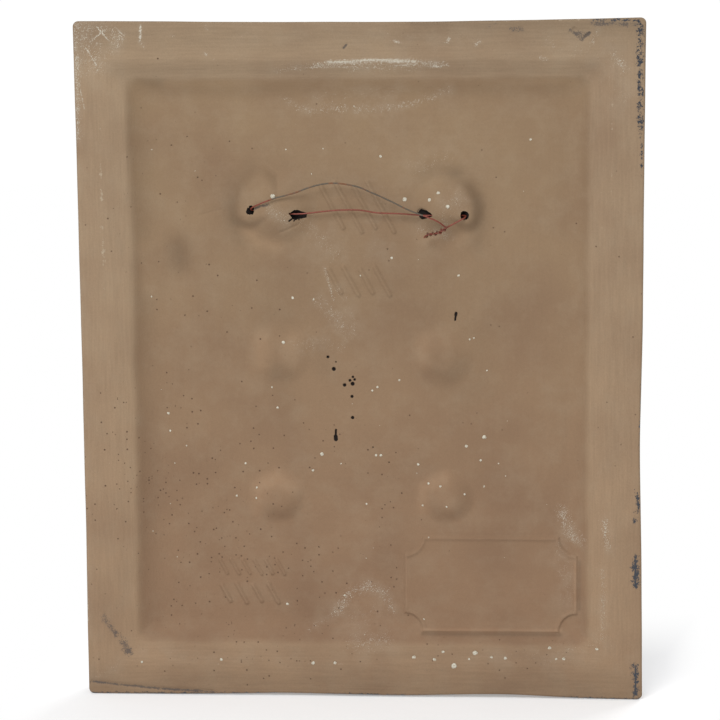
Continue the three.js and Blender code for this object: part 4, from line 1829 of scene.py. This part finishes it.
@dataclass(frozen=True)
class WireFinish:
    """Red enamelled copper wire, worn to grey metal along its upper run."""

    enamel: Colour = srgb(138, 62, 44)
    enamel_dark: Colour = srgb(80, 34, 24)
    worn: Colour = srgb(92, 84, 74)
    rust: Colour = srgb(118, 78, 54)

    def material(self) -> bpy.types.Material:
        """Builds the wire's material.

        Returns:
            The material.
        """
        graph = ShaderGraph("enamelled_copper")
        where = graph.millimetres()
        patches = graph.noise(where, 4.5, 3, 0.6)
        fine = graph.noise(where, 0.7, 2)
        red = graph.mix(fine, self.enamel, self.enamel_dark)
        wear = graph.attribute("worn")
        bare = (wear * 1.3 + patches - 0.75).step(0.25, 0.45)
        grey = graph.mix(patches.step(0.5, 0.66), self.worn, self.rust)
        colour = graph.mix(bare, red, grey)
        bump = {"Height": fine + patches, "Strength": 0.35, "Distance": 0.00008}
        return graph.finish(
            Base_Color=colour,
            Roughness=0.42 + bare * 0.15,
            Metallic=0.25 + bare * 0.35,
            Normal=graph.add("ShaderNodeBump", bump),
        )


@dataclass(frozen=True)
class LimeFinish:
    """Off-white crumbs of lime and dried slip."""

    pale: Colour = srgb(194, 190, 175)
    dull: Colour = srgb(152, 140, 120)

    def material(self) -> bpy.types.Material:
        """Builds the crumbs' material.

        Returns:
            The material.
        """
        graph = ShaderGraph("lime")
        where = graph.millimetres()
        grain = graph.noise(where, 0.8, 3)
        colour = graph.mix(grain.step(0.35, 0.75), self.pale, self.dull)
        bump = {"Height": grain, "Strength": 0.5, "Distance": 0.0001}
        normal = graph.add("ShaderNodeBump", bump)
        return graph.finish(Base_Color=colour, Roughness=0.85 + grain * 0.1, Normal=normal)


# ------------------------------------------------------------------------------ geometry trees


class GeometryGraph(Graph):
    """A Geometry Nodes tree with named inputs, run once on a carrier mesh."""

    def __init__(self, name: str, inputs: dict[str, str]) -> None:
        """Makes the tree with a geometry input and the named ones.

        Args:
            name: The tree's name.
            inputs: Socket type of each further input.
        """
        tree = bpy.data.node_groups.new(name, "GeometryNodeTree")
        super().__init__(tree)
        tree.interface.new_socket("Geometry", in_out="INPUT", socket_type="NodeSocketGeometry")
        for label, kind in inputs.items():
            tree.interface.new_socket(label, in_out="INPUT", socket_type=kind)
        tree.interface.new_socket("Geometry", in_out="OUTPUT", socket_type="NodeSocketGeometry")
        self.source = tree.nodes.new("NodeGroupInput")

    def given(self, name: str) -> Term:
        """One of the tree's inputs."""
        return Term(self, self.source.outputs[name])

    def end(self, geometry: Term) -> None:
        """Realises, dresses and hands out the result.

        Args:
            geometry: The tree's result.
        """
        solid = self.add("GeometryNodeRealizeInstances", {"Geometry": geometry})
        inputs = {"Geometry": solid, "Material": self.given("Material")}
        self.add("NodeGroupOutput", {"Geometry": self.add("GeometryNodeSetMaterial", inputs)})

    def run(self, carrier: bpy.types.Mesh, values: dict[str, Any]) -> bpy.types.Mesh:
        """Runs the tree on a mesh.

        Args:
            carrier: The mesh that goes in, which is used up.
            values: Value of each named input.

        Returns:
            The plain mesh that comes out.
        """
        source = linked("carrier", carrier)
        modifier = source.modifiers.new("nodes", "NODES")
        modifier.node_group = self.tree
        for item in self.tree.interface.items_tree:
            if item.in_out == "INPUT" and item.name in values:
                modifier[item.identifier] = values[item.name]
        made = evaluated_mesh(source)
        bpy.data.objects.remove(source)
        return made


def wire_tree() -> GeometryGraph:
    """A tree that draws a round wire along a line of vertices.

    Returns:
        The tree.
    """
    inputs = {"Diameter": "NodeSocketFloat", "Sides": "NodeSocketInt", "Material": "NodeSocketMaterial"}
    graph = GeometryGraph("round_wire", inputs)
    line = graph.add("GeometryNodeMeshToCurve", {"Mesh": graph.given("Geometry")})
    radius = graph.given("Diameter") / 2
    sides = graph.given("Sides")
    section = graph.add("GeometryNodeCurvePrimitiveCircle", {"Resolution": sides, "Radius": radius})
    inputs = {"Curve": line, "Profile Curve": section, "Fill Caps": True}
    tube = graph.add("GeometryNodeCurveToMesh", inputs)
    graph.end(graph.add("GeometryNodeSetShadeSmooth", {"Geometry": tube}))
    return graph


def crumb_tree() -> GeometryGraph:
    """A tree that sets an uneven crumb on every vertex, as large as the vertex says.

    Returns:
        The tree.
    """
    inputs = {
        "Flatness": "NodeSocketFloat",
        "Unevenness": "NodeSocketFloat",
        "Seed": "NodeSocketInt",
        "Material": "NodeSocketMaterial",
    }
    graph = GeometryGraph("crumbs", inputs)
    number = {"data_type": "FLOAT"}
    size = graph.add("GeometryNodeInputNamedAttribute", {"Name": "size"}, number)
    flat = size * graph.given("Flatness")
    scale = graph.add("ShaderNodeCombineXYZ", {"X": size, "Y": flat, "Z": size})
    # The sockets for a random number's least and greatest are its third and fourth.
    spin = {2: 0.0, 3: 2 * math.pi, "Seed": graph.given("Seed")}
    turn = graph.add("FunctionNodeRandomValue", spin, number, 1)
    crumb = graph.add("GeometryNodeMeshIcoSphere", {"Radius": 1.0, "Subdivisions": 2})
    inputs = {
        "Points": graph.given("Geometry"),
        "Instance": crumb,
        "Rotation": graph.add("ShaderNodeCombineXYZ", {"Y": turn}),
        "Scale": scale,
    }
    solid = graph.add("GeometryNodeInstanceOnPoints", inputs)
    solid = graph.add("GeometryNodeRealizeInstances", {"Geometry": solid})
    where = graph.add("GeometryNodeInputPosition")
    lumps = graph.add("ShaderNodeTexNoise", {"Vector": where, "Scale": 900.0}, output="Color")
    centred = graph.add("ShaderNodeVectorMath", {0: lumps, 1: (0.5, 0.5, 0.5)}, {"operation": "SUBTRACT"})
    inputs = {0: centred, "Scale": graph.given("Unevenness")}
    shift = graph.add("ShaderNodeVectorMath", inputs, {"operation": "SCALE"})
    moved = graph.add("GeometryNodeSetPosition", {"Geometry": solid, "Offset": shift})
    graph.end(graph.add("GeometryNodeSetShadeSmooth", {"Geometry": moved}))
    return graph


# ------------------------------------------------------------------------------ lime crumbs


@dataclass
class LimeCrumbs:
    """Crumbs of lime stuck to the back, the largest placed one by one and the rest strewn.

    Args:
        datum: Where the slab lies.
        relief: The surface that they stick to.
        finish: Their material.
        seed: Seed of the strewn ones.
        strewn: How many are strewn.
        scale: Size of the placed ones against the radii listed.
        flatness: Height of a crumb against its radius.
        unevenness: How far a crumb's surface is pushed about, in metres.
        strewn_x: Half width of the strewn ones' field.
        strewn_z: Bottom, middle and top of that field.
        below: Share of them below the field's middle.
    """

    datum: Datum
    relief: BackRelief
    finish: bpy.types.Material
    seed: int = 4
    strewn: int = 46
    scale: float = 0.84
    flatness: float = 0.3
    unevenness: float = 0.0009
    strewn_x: float = 118.0
    strewn_z: Triple = (-150.0, 0.0, 145.0)
    below: float = 0.7
    # The larger crumbs, as x, z and radius.
    placed: tuple[Triple, ...] = (
        (-27.4, -160, 1.3), (-43.1, -157, 1), (-49, -164.2, 1.9), (-60.4, -157.4, 1.7),
        (-57, -160.6, 0.8), (-69.1, -159.5, 1), (-76.6, -160, 1.1), (-38.6, -161, 1.2),
        (-100.4, -154.5, 1.2), (-104, -160.2, 0.8), (-108, -160, 1), (-125.7, -154.5, 0.9),
        (77.1, -162.2, 0.9), (120.5, -163.8, 0.8), (27.1, -163.4, 1.1), (15.3, -163.2, 1),
        (-11.1, 109.8, 0.9), (-90.1, 118.5, 0.8), (-8.5, -13.6, 0.8), (-20, -9.8, 0.8),
        (21.9, -50.3, 1.2), (-7.3, -50.7, 0.8), (-10, -50.7, 0.9), (63.1, -55.5, 0.7),
        (-29.9, -55.6, 0.9), (-55.8, -45.6, 1), (-65.4, -40.6, 1.3), (-63.3, -53.2, 0.8),
        (26.8, -59.2, 0.8), (11.6, -55.2, 0.6), (-23.7, 87, 1.4), (-37, 87, 1.2),
        (-41.7, 90.7, 1.1), (-46.7, 83.8, 1.2), (45.8, 89.3, 1.6), (41.5, 11, 1.1),
        (57.2, -68.6, 0.7), (57.3, -74.1, 0.8), (-35.6, -65.8, 0.8), (-42, -66.9, 0.9),
        (-45.2, -77.8, 0.7), (-32.3, -77.9, 0.7), (-57.8, 12.3, 0.6), (36.5, 34.5, 0.9),
        (-52, 46.5, 0.8), (-60, 13, 0.6),
    )

    def spots(self) -> tuple[Array, Array, Array]:
        """Places and sizes of all crumbs.

        Returns:
            Places across, places upwards and radii.
        """
        rng = np.random.default_rng(self.seed)
        x, z, size = (np.array(column) for column in zip(*self.placed))
        size = size * self.scale
        bottom, middle, top = self.strewn_z
        more_x = rng.uniform(-self.strewn_x, self.strewn_x, self.strewn)
        is_low = rng.random(self.strewn) < self.below
        low, high = rng.uniform(bottom, middle, self.strewn), rng.uniform(middle, top, self.strewn)
        more_z = np.where(is_low, low, high)
        more = rng.gamma(2.0, 0.11, self.strewn) + 0.16
        return np.append(x, more_x), np.append(z, more_z), np.append(size, more)

    def build(self) -> bpy.types.Object:
        """Makes the crumbs as one piece.

        Returns:
            The finished piece, riding on the root body.
        """
        x, z, size = self.spots()
        depth = self.relief.depth(x, z)
        carrier = bpy.data.meshes.new("spots")
        carrier.from_pydata((self.datum.to_row(x, z, depth) * MM).tolist(), [], [])
        sizes = carrier.attributes.new("size", "FLOAT", "POINT")
        sizes.data.foreach_set("value", (size * MM).astype(np.float32))
        values = {
            "Flatness": self.flatness,
            "Unevenness": self.unevenness,
            "Seed": self.seed,
            "Material": self.finish,
        }
        mesh = crumb_tree().run(carrier, values)
        piece = linked("lime_crumbs", mesh)
        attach(piece, ROOT)
        LOG.info("lime_crumbs: %d crumbs, %d faces", len(x), len(mesh.polygons))
        return piece


# ------------------------------------------------------------------------------ hanging wire


@dataclass
class HangingWire:
    """One length of wire through both top bosses, its two ends twisted together.

    Args:
        finish: Its material.
        diameter: Diameter of the wire.
        strand_offset: Distance of each twisted end from the pair's axis.
        turns: Turns of the twist.
        step: Distance between points along the loop.
        twist_step: The same along the twist.
        sides: Sides of the round wire.
        start_turn: Where round the pair its first end starts, in radians.
        shares: How much of the pair's length each end has.
        slacks: How far each end winds out, as a share of the widest.
        joint: Samples of each end that the loop's own ends stand for.
        run_x: Where across the upper run is worn.
        run_above: The worn run's least height and least place towards the wall.
        wear: Wear of the upper run, of the rest of the loop and of the twist.
    """

    finish: bpy.types.Material
    diameter: float = 0.8
    strand_offset: float = 0.85
    turns: float = 5.5
    step: float = 0.7
    twist_step: float = 0.25
    sides: int = 12
    start_turn: float = 0.4
    shares: Pair = (1.0, 0.94)
    slacks: Pair = (0.15, 1.0)
    joint: int = 3
    run_x: Pair = (-44.0, 47.0)
    run_above: Pair = (-14.5, -1.0)
    wear: Triple = (1.0, 0.25, 0.44)
    # The loop's route in row millimetres, from the twist round to the twist again.
    route: tuple[Triple, ...] = (
        (-46.1, 1.8, -20.8), (-50, 1.9, -18.7), (-53.2, 1.7, -17), (-55.4, 1, -15.8), (-56.2, -0.2, -15),
        (-55.4, -1.6, -14.8), (-53, -2.4, -14.9), (-49, -2.5, -15), (-40, -2.5, -14.9),
        (-33, -2.4, -14.7), (-21, -2, -13.8), (-9.1, -2, -13.3), (0.1, -2, -11.9), (11.6, -2, -11.9),
        (20.4, -2.1, -12.7), (30.6, -2.4, -13.8), (38, -2.5, -13.8), (48, -2.5, -12.8), (53, -2.4, -12.2),
        (56.4, -1.6, -11.8), (57.6, -0.2, -11.2), (56.8, 1, -10.2), (53.6, 1.7, -8.6), (49.4, 2, -6.9),
        (44, 2.2, -4.9), (38.5, 1.8, -3.6), (33, 1.2, -2), (27, 0.6, 0.2), (20.1, 0.1, 2), (13.5, 0, 2.6),
        (7.2, 0, 2), (0, 0, 0.4), (-5.5, 0, -2), (-11.5, 0, -4.6), (-17.9, 0.2, -7.6),
        (-24.5, 0.7, -10.9), (-30.1, 1.2, -13.2), (-35.8, 1.8, -15.2), (-41.5, 2.2, -17.6),
        (-45.8, 1.9, -20.8),
    )
    # The twisted pair's axis, from its start to the cut tips.
    twist_route: tuple[Triple, ...] = (
        (-46.9, 1.9, -20.2), (-45.2, 1.8, -21.4), (-42.4, 1.5, -23.2), (-39.5, 1.1, -24.1),
        (-36.6, 0.7, -24.5), (-33.9, 0.2, -26.2),
    )

    @staticmethod
    def smooth(points: Array, step: float) -> Array:
        """A centripetal Catmull-Rom curve through points, sampled at about one step.

        Args:
            points: Points that it passes through.
            step: Wanted distance between samples.

        Returns:
            The samples.
        """
        ends = np.vstack([2 * points[0] - points[1], points, 2 * points[-1] - points[-2]])
        gaps = np.sqrt(np.linalg.norm(np.diff(ends, axis=0), axis=1))
        knots = np.concatenate([[0], np.cumsum(gaps)])
        made = []
        for index in range(1, len(ends) - 2):
            t0, t1, t2, t3 = knots[index - 1 : index + 3]
            p0, p1, p2, p3 = ends[index - 1 : index + 3]
            count = max(1, round(float(np.linalg.norm(p2 - p1)) / step))
            t = np.linspace(t1, t2, count, endpoint=False)[:, None]
            a1 = (t1 - t) / (t1 - t0) * p0 + (t - t0) / (t1 - t0) * p1
            a2 = (t2 - t) / (t2 - t1) * p1 + (t - t1) / (t2 - t1) * p2
            a3 = (t3 - t) / (t3 - t2) * p2 + (t - t2) / (t3 - t2) * p3
            b1 = (t2 - t) / (t2 - t0) * a1 + (t - t0) / (t2 - t0) * a2
            b2 = (t3 - t) / (t3 - t1) * a2 + (t - t1) / (t3 - t1) * a3
            made.append((t2 - t) / (t2 - t1) * b1 + (t - t1) / (t2 - t1) * b2)
        return np.vstack([*made, points[-1:]])

    def strand(self, phase: float, length_share: float, slack: float) -> Array:
        """One twisted end, from the pair's start to its cut tip.

        Args:
            phase: Where round the pair it starts, in radians.
            length_share: How much of the pair's length it has.
            slack: How far it winds out, as a share of the widest.

        Returns:
            Points along it.
        """
        axis = self.smooth(np.array(self.twist_route), self.twist_step)
        axis = axis[: int(len(axis) * length_share)]
        along = np.gradient(axis, axis=0)
        along /= np.linalg.norm(along, axis=1)[:, None]
        side = np.cross(along, (0, 1, 0))
        side /= np.linalg.norm(side, axis=1)[:, None]
        other = np.cross(along, side)
        share = np.linspace(0, length_share, len(axis))
        angle = phase + 2 * math.pi * self.turns * share
        offset = slack * self.strand_offset * smoothstep(share, 0, 0.12)[:, None]
        return axis + offset * (np.cos(angle)[:, None] * side + np.sin(angle)[:, None] * other)

    def build(self) -> bpy.types.Object:
        """Makes the wire as one piece, and stands it for the plain one.

        Returns:
            The finished piece, riding on the root body.
        """
        loop = self.smooth(np.array(self.route), self.step)
        turns = (self.start_turn, self.start_turn + math.pi)
        first, last = (self.strand(*end) for end in zip(turns, self.shares, self.slacks))
        line = np.vstack([first[: self.joint - 1 : -1], loop, last[self.joint :]])
        x, y, z = line.T
        height, clear = self.run_above
        upper = (z > height) & (y > clear) & (x > self.run_x[0]) & (x < self.run_x[1])
        run_wear, loop_wear, twist_wear = self.wear
        worn = np.where(upper, run_wear, loop_wear)
        worn[len(line) - len(last) :] = twist_wear
        carrier = bpy.data.meshes.new("wire_line")
        edges = [(i, i + 1) for i in range(len(line) - 1)]
        carrier.from_pydata((line * MM).tolist(), edges, [])
        wear = carrier.attributes.new("worn", "FLOAT", "POINT")
        wear.data.foreach_set("value", worn.astype(np.float32))
        values = {"Diameter": self.diameter * MM, "Sides": self.sides, "Material": self.finish}
        mesh = wire_tree().run(carrier, values)
        piece = linked("wire_loop", mesh)
        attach(piece, ROOT)
        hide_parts("hanging_wire")
        length = float(np.linalg.norm(np.diff(line, axis=0), axis=1).sum())
        LOG.info("wire_loop: %.0f mm of wire, %d faces", length, len(mesh.polygons))
        return piece


# ------------------------------------------------------------------------------ studio


@dataclass(frozen=True)
class SoftLight:
    """A square soft light.

    Args:
        name: Its name.
        offset: Its place from the slab's middle, in metres.
        size: Length of its sides, in metres.
        power: Its power, in watts.
    """

    name: str
    offset: Triple
    size: float
    power: float

    def hang(self, target: Vector) -> None:
        """Hangs the light and turns it towards a point.

        Args:
            target: The point.
        """
        data = bpy.data.lights.new(self.name, "AREA")
        data.shape, data.size, data.energy = "SQUARE", self.size, self.power
        lamp = bpy.data.objects.new(self.name, data)
        place = target + Vector(self.offset)
        lamp.location = place
        lamp.rotation_euler = (target - place).to_track_quat("-Z", "Y").to_euler()
        bpy.context.scene.collection.objects.link(lamp)


@dataclass
class Studio:
    """A pale floor, a white surround, soft lights and the camera behind the plaque.

    Args:
        datum: Where the slab lies.
        azimuth: Camera's turn from straight behind, in degrees.
        elevation: Camera's height above the horizon, in degrees.
        roll: Camera's roll, in degrees.
        distance: Camera's distance from its target, in metres.
        lens: Focal length.
        target_shift: Target's place from the slab's middle at the rim's plane, in millimetres.
        surround: Brightness of the surround as a light.
        white: Brightness of the surround as seen.
        lights: The lights.
        floor_reach: How far the floor reaches each way, in metres.
        dim_x: Distances beside the slab's middle where the floor's glow begins and is whole.
        dim_y: The same before and behind it.
        least_glow: The floor's glow under the slab.
    """

    datum: Datum
    azimuth: float = 4.410
    elevation: float = 8.921
    roll: float = -0.545
    distance: float = 1.4936
    lens: float = 140.75
    target_shift: Point = (0.14, 2.41)
    surround: float = 0.55
    white: float = 1.02
    lights: tuple[SoftLight, ...] = (
        SoftLight("key", (0.42, 1.4, 1.2), 0.9, 27.0),
        SoftLight("front", (-0.9, -1.6, 1.2), 1.2, 24.0),
    )
    floor_reach: float = 3.0
    dim_x: Pair = (150.0, 190.0)
    dim_y: Pair = (24.0, 200.0)
    least_glow: float = 0.3

    def build(self) -> None:
        """Makes the floor, the surround, the lights and the camera."""
        self.floor()
        self.world()
        middle = Vector((self.datum.middle_x, 0, self.datum.middle_z)) * MM
        for light in self.lights:
            light.hang(middle)
        self.camera()

    def floor(self) -> None:
        """Makes the floor, which glows white away from the slab like a lit table."""
        reach, z = self.floor_reach, self.datum.floor_z
        corners = [(-reach, -reach, z), (reach, -reach, z), (reach, reach, z), (-reach, reach, z)]
        mesh = bpy.data.meshes.new("floor")
        mesh.from_pydata(corners, [], [(0, 1, 2, 3)])
        graph = ShaderGraph("lit_table")
        where = graph.millimetres((1, 1, 1e6))
        grain = graph.noise(where, 30)
        colour = graph.mix(grain, srgb(247, 247, 248), srgb(251, 251, 252))
        card = graph.add("ShaderNodeBsdfPrincipled", {"Base Color": colour, "Roughness": 0.95})
        glow = graph.add("ShaderNodeEmission", {"Color": (1, 1, 1, 1), "Strength": 1.0})
        aside = abs(graph.add("ShaderNodeSeparateXYZ", {"Vector": where}, output="X"))
        ahead = abs(graph.add("ShaderNodeSeparateXYZ", {"Vector": where}, output="Y"))
        away = aside.step(*self.dim_x).greater(ahead.step(*self.dim_y)).greater(self.least_glow)
        surface = graph.add("ShaderNodeMixShader", {"Fac": away, 1: card, 2: glow})
        graph.add("ShaderNodeOutputMaterial", {"Surface": surface})
        mesh.materials.append(graph.material)
        linked("floor", mesh)

    def world(self) -> None:
        """Makes the surround: white to the eye, softer as a light."""
        world = bpy.data.worlds.new("surround")
        world.use_nodes = True
        graph = Graph(world.node_tree)
        seen = graph.add("ShaderNodeLightPath", output="Is Camera Ray")
        strength = self.surround + seen * (self.white - self.surround)
        light = graph.add("ShaderNodeBackground", {"Color": (1, 1, 1, 1), "Strength": strength})
        graph.add("ShaderNodeOutputWorld", {"Surface": light})
        bpy.context.scene.world = world
        bpy.context.scene.view_settings.view_transform = "Standard"

    def camera(self) -> None:
        """Sets up the camera."""
        turn, rise, roll = (math.radians(a) for a in (self.azimuth, self.elevation, self.roll))
        away = Vector((-math.sin(turn) * math.cos(rise), math.cos(turn) * math.cos(rise), math.sin(rise)))
        x, z = self.target_shift
        target = Vector((self.datum.middle_x + x, self.datum.rim_y, self.datum.middle_z + z)) * MM
        right = (-away).cross(Vector((0, 0, 1))).normalized()
        up = right.cross(-away)
        across = math.cos(roll) * right + math.sin(roll) * up
        upright = -math.sin(roll) * right + math.cos(roll) * up
        data = bpy.data.cameras.new("camera")
        data.lens, data.sensor_width = self.lens, 36.0
        camera = bpy.data.objects.new("camera", data)
        turned = Matrix((across, upright, away)).transposed().to_4x4()
        camera.matrix_world = Matrix.Translation(target + away * self.distance) @ turned
        bpy.context.scene.collection.objects.link(camera)
        bpy.context.scene.camera = camera


def main() -> None:
    """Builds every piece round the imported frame, in order."""
    logging.basicConfig(level=logging.INFO, format="%(name)s: %(message)s")
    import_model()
    datum = Datum.of_frame()
    Studio(datum).build()
    slab = Slab(datum, StonewareFinish().material())
    slab.build()
    LimeCrumbs(datum, slab.relief, LimeFinish().material()).build()
    HangingWire(WireFinish().material()).build()


if __name__ == "__main__":
    main()
